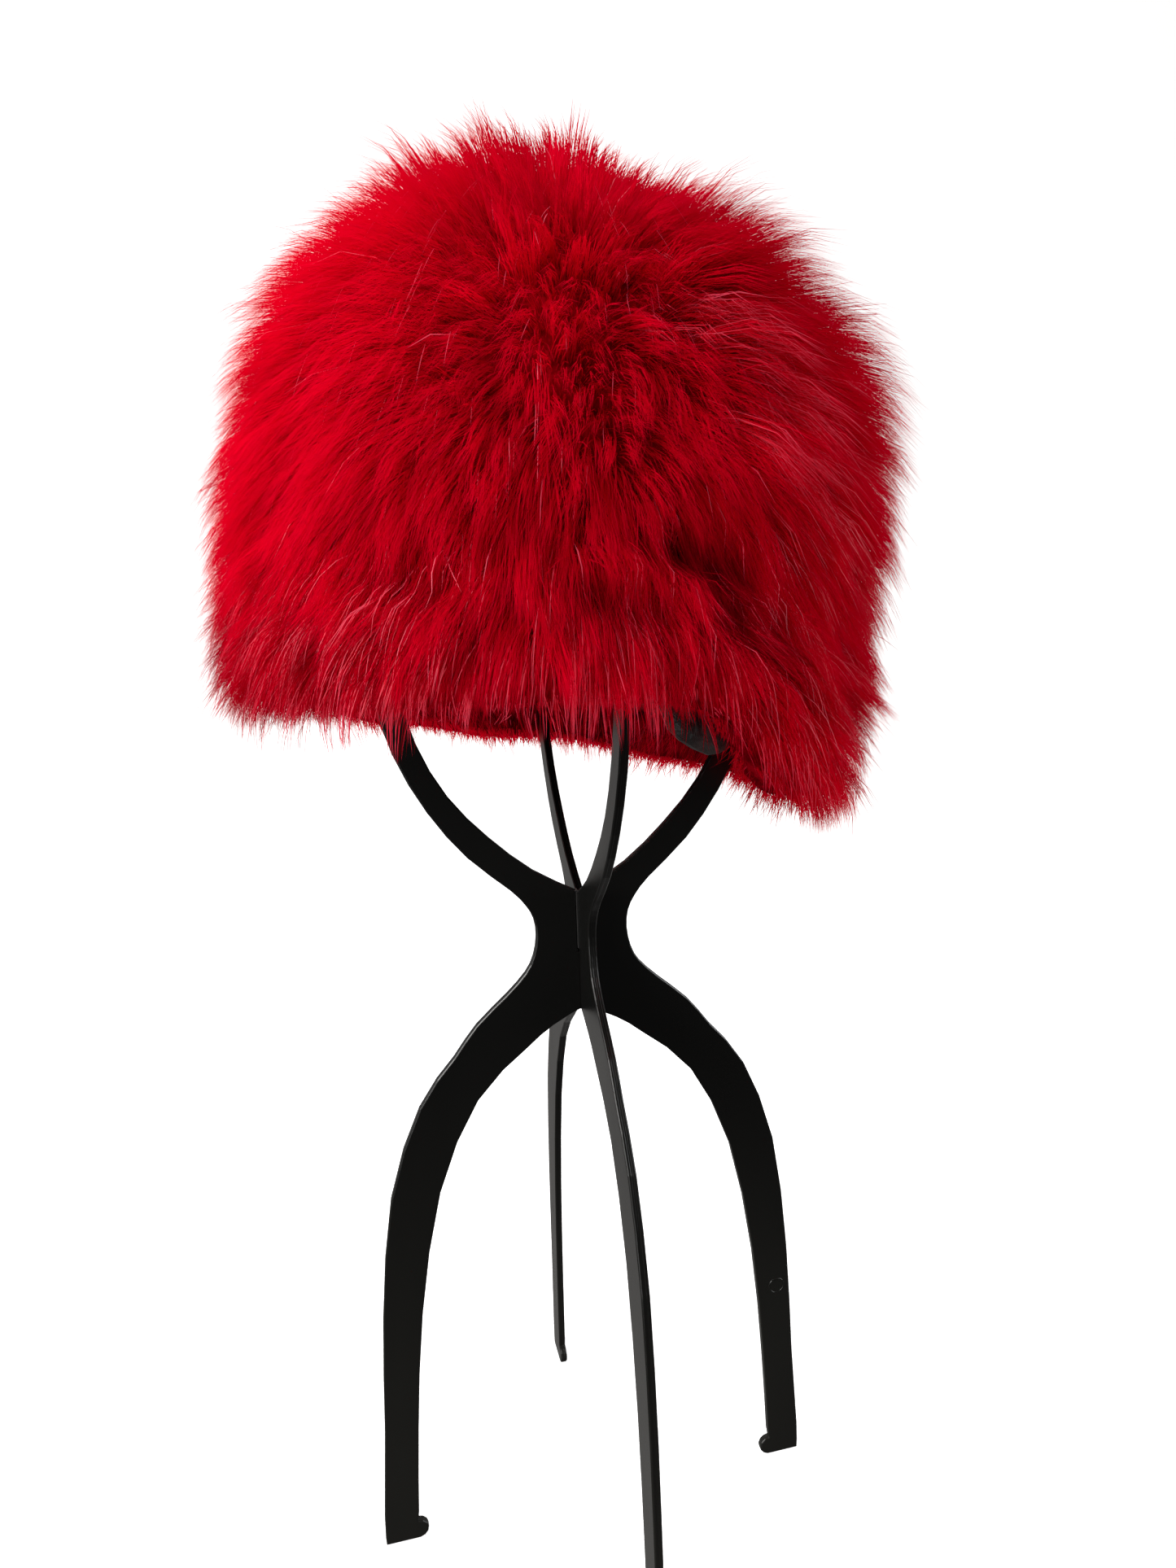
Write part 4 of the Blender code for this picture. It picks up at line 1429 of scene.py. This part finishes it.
    def undercoat(self) -> bpy.types.Mesh:
        """Makes the matted skin of the pile, outside and round the hem to its turned-in edge.

        Returns:
            The mesh.
        """
        ring = self.scalp.ring
        turn = self.hem_turn / self.scalp.wall_length
        inside = -BACKING_DEPTH - self.hem_depth
        hang = self.hem_drop(self.scalp.level(0.0))
        climbs = np.linspace(self.undercoat_top, 0.0, self.undercoat_rings)
        rings = [ring(climb, self.undercoat_offset) for climb in climbs]
        rings += [ring(0.0, self.undercoat_offset * off, hang * drop) for off, drop in self.hem_outside]
        rings += [ring(0.0, inside * off, hang * drop) for off, drop in self.hem_inside]
        rings += [ring(climb, inside) for climb in np.linspace(turn * 0.3, turn, self.turned_rings)]
        rings.append(ring(turn, -BACKING_DEPTH))
        grid = np.stack(rings)
        mesh = grid_mesh("fur_undercoat", grid)
        normals = np.array([vert.normal for vert in mesh.vertices])
        points = grid.reshape(-1, 3)
        bumps = [noise.fractal(Vector(point) * self.undercoat_scale, 1.0, 2.0, 3) for point in points]
        move_points(mesh, points + normals * (np.array(bumps) * self.undercoat_relief)[:, None])
        return mesh

    def build(self) -> list[bpy.types.Object]:
        """Makes every piece of the pile.

        Returns:
            The pieces.
        """
        pieces = [add_piece("fur_undercoat", self.undercoat(), UNDERCOAT.material(), "fur")]
        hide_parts("fur_pile")
        material = FUR.material()
        for coat in self.coats:
            strands, spots = self.strands(coat)
            parts = {f"fur_{coat.name}": strands}
            if coat.split:
                parts = {f"fur_{coat.name}_{zone.value}": strands.chosen(zone.holds(spots)) for zone in Zone}
            pieces += [add_piece(name, part.mesh(name), material, "fur") for name, part in parts.items()]
        inner = self.inner.strands(self).mesh("fur_inner_hair")
        return [*pieces, add_piece("fur_inner_hair", inner, material, "fur")]


@dataclass(frozen=True)
class ClothShell:
    """A cloth layer of the hat, from its frame node: welded, subdivided, pleated, and rolled at its edge."""

    node: str
    name: str
    finish: ClothFinish
    slot: str
    pleat: float
    cut: tuple[float, float]
    cut_area: float
    rests_on: tuple[str, ...]
    roll: float = 0.0
    lift: float = 0.0
    pleat_scale: Place = (130.0, 130.0, 48.0)
    roll_height: float = 0.0035
    levels: int = 2
    weld: float = 1e-5
    sectors: int = 360

    def edge_share(self, points: np.ndarray, middle: np.ndarray) -> np.ndarray:
        """Works out how near points lie to the layer's lower edge.

        Args:
            points: The points.
            middle: Point inside the hat.

        Returns:
            A share for each point, from 0 to 1 at the edge.
        """
        around = np.degrees(np.arctan2(points[:, 1] - middle[1], points[:, 0] - middle[0])) + 180.0
        lowest = np.full(self.sectors, np.inf)
        np.minimum.at(lowest, around.astype(int) % self.sectors, points[:, 2])
        filled = np.flatnonzero(np.isfinite(lowest))
        edge = np.interp(around, filled + 0.5, lowest[filled], period=360.0)
        return 1.0 - eased(points[:, 2] - edge, 0.3 * self.roll_height, self.roll_height)

    def refined(self) -> bmesh.types.BMesh:
        """Welds, squares up and subdivides a copy of the node's mesh.

        Returns:
            The copy.
        """
        work = bmesh.new()
        work.from_mesh(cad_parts[self.node].data)
        bmesh.ops.remove_doubles(work, verts=work.verts[:], dist=self.weld)
        bmesh.ops.join_triangles(work, faces=work.faces[:], angle_face_threshold=math.radians(40.0),
                                 angle_shape_threshold=math.radians(60.0))
        bmesh.ops.subdivide_edges(work, edges=work.edges[:], cuts=self.levels, use_grid_fill=True, smooth=0.6)
        work.normal_update()
        return work

    def build(self) -> list[bpy.types.Object]:
        """Returns:
            The layer, alone in a list.
        """
        work = self.refined()
        points = np.array([vert.co for vert in work.verts])
        normals = np.array([vert.normal for vert in work.verts])
        middle = head_middle(points.min(axis=0), points.max(axis=0))
        edge = self.edge_share(points, middle)
        scale = Vector(self.pleat_scale)
        pleats = np.array([noise.fractal(vert.co * scale, 1.0, 2.0, 3) for vert in work.verts])
        inward = unit(middle - points) * np.clip(pleats * 0.5 + 0.5, 0.0, 1.0)[:, None] * self.pleat
        moved = points + inward + normals * (self.roll * edge)[:, None]
        moved[:, 2] += self.lift * edge
        mesh = bpy.data.meshes.new(self.name)
        work.to_mesh(mesh)
        work.free()
        store(mesh, "edge", edge)
        mesh.shade_smooth()
        move_points(mesh, moved)
        piece = add_piece(self.name, mesh, self.finish.material(), self.slot)
        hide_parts(self.node)
        list(self.rests_on)
        return [piece]


SHELLS = (
    ClothShell("cap_backing", "backing_cloth", BACKING, "backing", pleat=0.0002, cut=(0.57, 0.22),
               cut_area=0.093, rests_on=("cap_lining",)),
    ClothShell("cap_lining", "lining_cloth", LINING, "lining", pleat=0.0034, cut=(0.56, 0.21),
               cut_area=0.085, rests_on=("stand_side_plate", "stand_front_plate"), roll=0.0008, lift=0.0020),
)


@dataclass(frozen=True)
class Stand:
    """The folding stand's two plates, which keep the frame's shape."""

    side: PlasticFinish = SIDE_PLATE
    front: PlasticFinish = FRONT_PLATE

    def build(self) -> list[bpy.types.Object]:
        """Gives each plate its moulded plastic.

        Returns:
            The plates.
        """
        dressed = []
        for name, finish in (("stand_side_plate", self.side), ("stand_front_plate", self.front)):
            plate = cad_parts[name]
            plate.data.materials.clear()
            plate.data.materials.append(finish.material())
            dressed.append(plate)
        return dressed


@dataclass(frozen=True)
class Lamp:
    """Square area light of the studio."""

    name: str
    place: Place
    size: float
    power: float
    tint: Colour = (1.0, 1.0, 1.0)

    def add(self, target: Place) -> None:
        """Puts the light in the scene.

        Args:
            target: Point that it looks at.
        """
        data = bpy.data.lights.new(self.name, "AREA")
        data.size = self.size
        data.energy = self.power
        data.color = self.tint
        light = bpy.data.objects.new(self.name, data)
        light.location = self.place
        light.rotation_euler = (Vector(target) - Vector(self.place)).to_track_quat("-Z", "Y").to_euler()
        bpy.context.scene.collection.objects.link(light)


@dataclass(frozen=True)
class Studio:
    """Camera, lights and the pale sweep that the object stands on."""

    position: Place = (-0.0698, -0.3456, 0.3740)
    right: Place = (0.97168332, -0.23422324, -0.03116094)
    up: Place = (0.07715834, 0.18987889, 0.97877096)
    lens: float = 30.975
    sensor: float = 36.0
    target: Place = (0.0, 0.0, 0.36)
    sweep_side: float = 2.4
    sweep_front: float = -1.6
    sweep_bend: float = 1.2
    sweep_radius: float = 0.6
    sweep_top: float = 2.6
    under_feet: float = 0.0004
    soft_tint: Colour = (1.0, 0.97, 0.94)
    soft_behind: Range = (0.07, 0.30)
    soft_above: Range = (0.0, 0.06)
    lamps: tuple[Lamp, ...] = (
        Lamp("key", (-1.30, -0.55, 1.00), 0.8, 35.5, (1.0, 0.985, 0.96)),
        Lamp("right", (1.2, -0.30, 0.50), 0.6, 8.6, (0.96, 0.98, 1.0)),
        Lamp("top", (-0.1, 0.0, 1.7), 0.7, 7.0),
        Lamp("low", (-0.8, -0.9, 0.05), 0.5, 4.5),
    )

    def add_camera(self) -> None:
        """Puts the camera where the photograph was taken."""
        data = bpy.data.cameras.new("camera")
        data.lens = self.lens
        data.sensor_fit = "HORIZONTAL"
        data.sensor_width = self.sensor
        data.clip_start = 0.01
        camera = bpy.data.objects.new("camera", data)
        right, up = Vector(self.right).normalized(), Vector(self.up).normalized()
        turn = Matrix((right, up, right.cross(up))).transposed()
        camera.matrix_world = Matrix.Translation(self.position) @ turn.to_4x4()
        bpy.context.scene.collection.objects.link(camera)
        bpy.context.scene.camera = camera

    def add_stage(self) -> bpy.types.Object:
        """Makes the pale floor that curves up behind the object.

        Returns:
            The floor.
        """
        bend = [(self.sweep_bend + self.sweep_radius * math.sin(turn),
                 self.sweep_radius - self.sweep_radius * math.cos(turn))
                for turn in np.linspace(0.1, math.pi / 2, 12)]
        profile = [(self.sweep_front, 0.0), (self.sweep_bend, 0.0), *bend,
                   (self.sweep_bend + self.sweep_radius, self.sweep_top)]
        sides = (-self.sweep_side, self.sweep_side)
        points = np.array([(x, y, z - self.under_feet) for y, z in profile for x in sides])
        index = np.arange(len(profile) - 1)[:, None] * 2
        corners = (index + np.array([[0, 1, 3, 2]])).ravel()
        mesh = mesh_from("stage", points, corners, np.arange(len(profile) - 1) * 4)
        mesh.materials.append(FLOOR.material())
        stage = bpy.data.objects.new("stage", mesh)
        bpy.context.scene.collection.objects.link(stage)
        stage.visible_glossy = False
        stage.visible_diffuse = False
        return stage

    def add_sky(self) -> None:
        """Makes the white that the camera sees, and a soft light on the object from behind and above."""
        graph = Graph(bpy.data.worlds.new("world"))
        heading = graph.node("ShaderNodeTexCoord", output="Generated")
        axes = graph.node("ShaderNodeSeparateXYZ", values={0: heading})
        behind = axes.part("Y").between(-0.3, 0.9, *self.soft_behind)
        above = axes.part("Z").between(-0.1, 0.9, *self.soft_above)
        values = {"Color": (*self.soft_tint, 1.0), "Strength": behind + above}
        soft = graph.node("ShaderNodeBackground", values=values)
        seen = graph.node("ShaderNodeBackground", values={"Color": (1.0, 1.0, 1.0, 1.0)})
        by_camera = graph.node("ShaderNodeLightPath", output="Is Camera Ray")
        shader = graph.node("ShaderNodeMixShader", values={0: by_camera, 1: soft, 2: seen})
        bpy.context.scene.world = graph.finish(shader, "ShaderNodeOutputWorld")

    def build(self) -> list[bpy.types.Object]:
        """Makes the camera, stage and lights.

        Returns:
            The stage, alone in a list.
        """
        self.add_camera()
        stage = self.add_stage()
        self.add_sky()
        for lamp in self.lamps:
            lamp.add(self.target)
        bpy.context.scene.view_settings.view_transform = "Standard"
        return [stage]


def main() -> None:
    """Builds the studio, the stand and the hat, and logs the points and faces of each piece."""
    logging.basicConfig(level=logging.INFO, format="%(name)s: %(message)s")
    noise.seed_set(NOISE_SEED)
    for part in (Studio(), Stand(), *SHELLS, Pile(Scalp("cap_backing"))):
        for piece in part.build():
            mesh = piece.data
            log.info("%s: %d points, %d faces", piece.name, len(mesh.vertices), len(mesh.polygons))


if __name__ == "__main__":
    main()
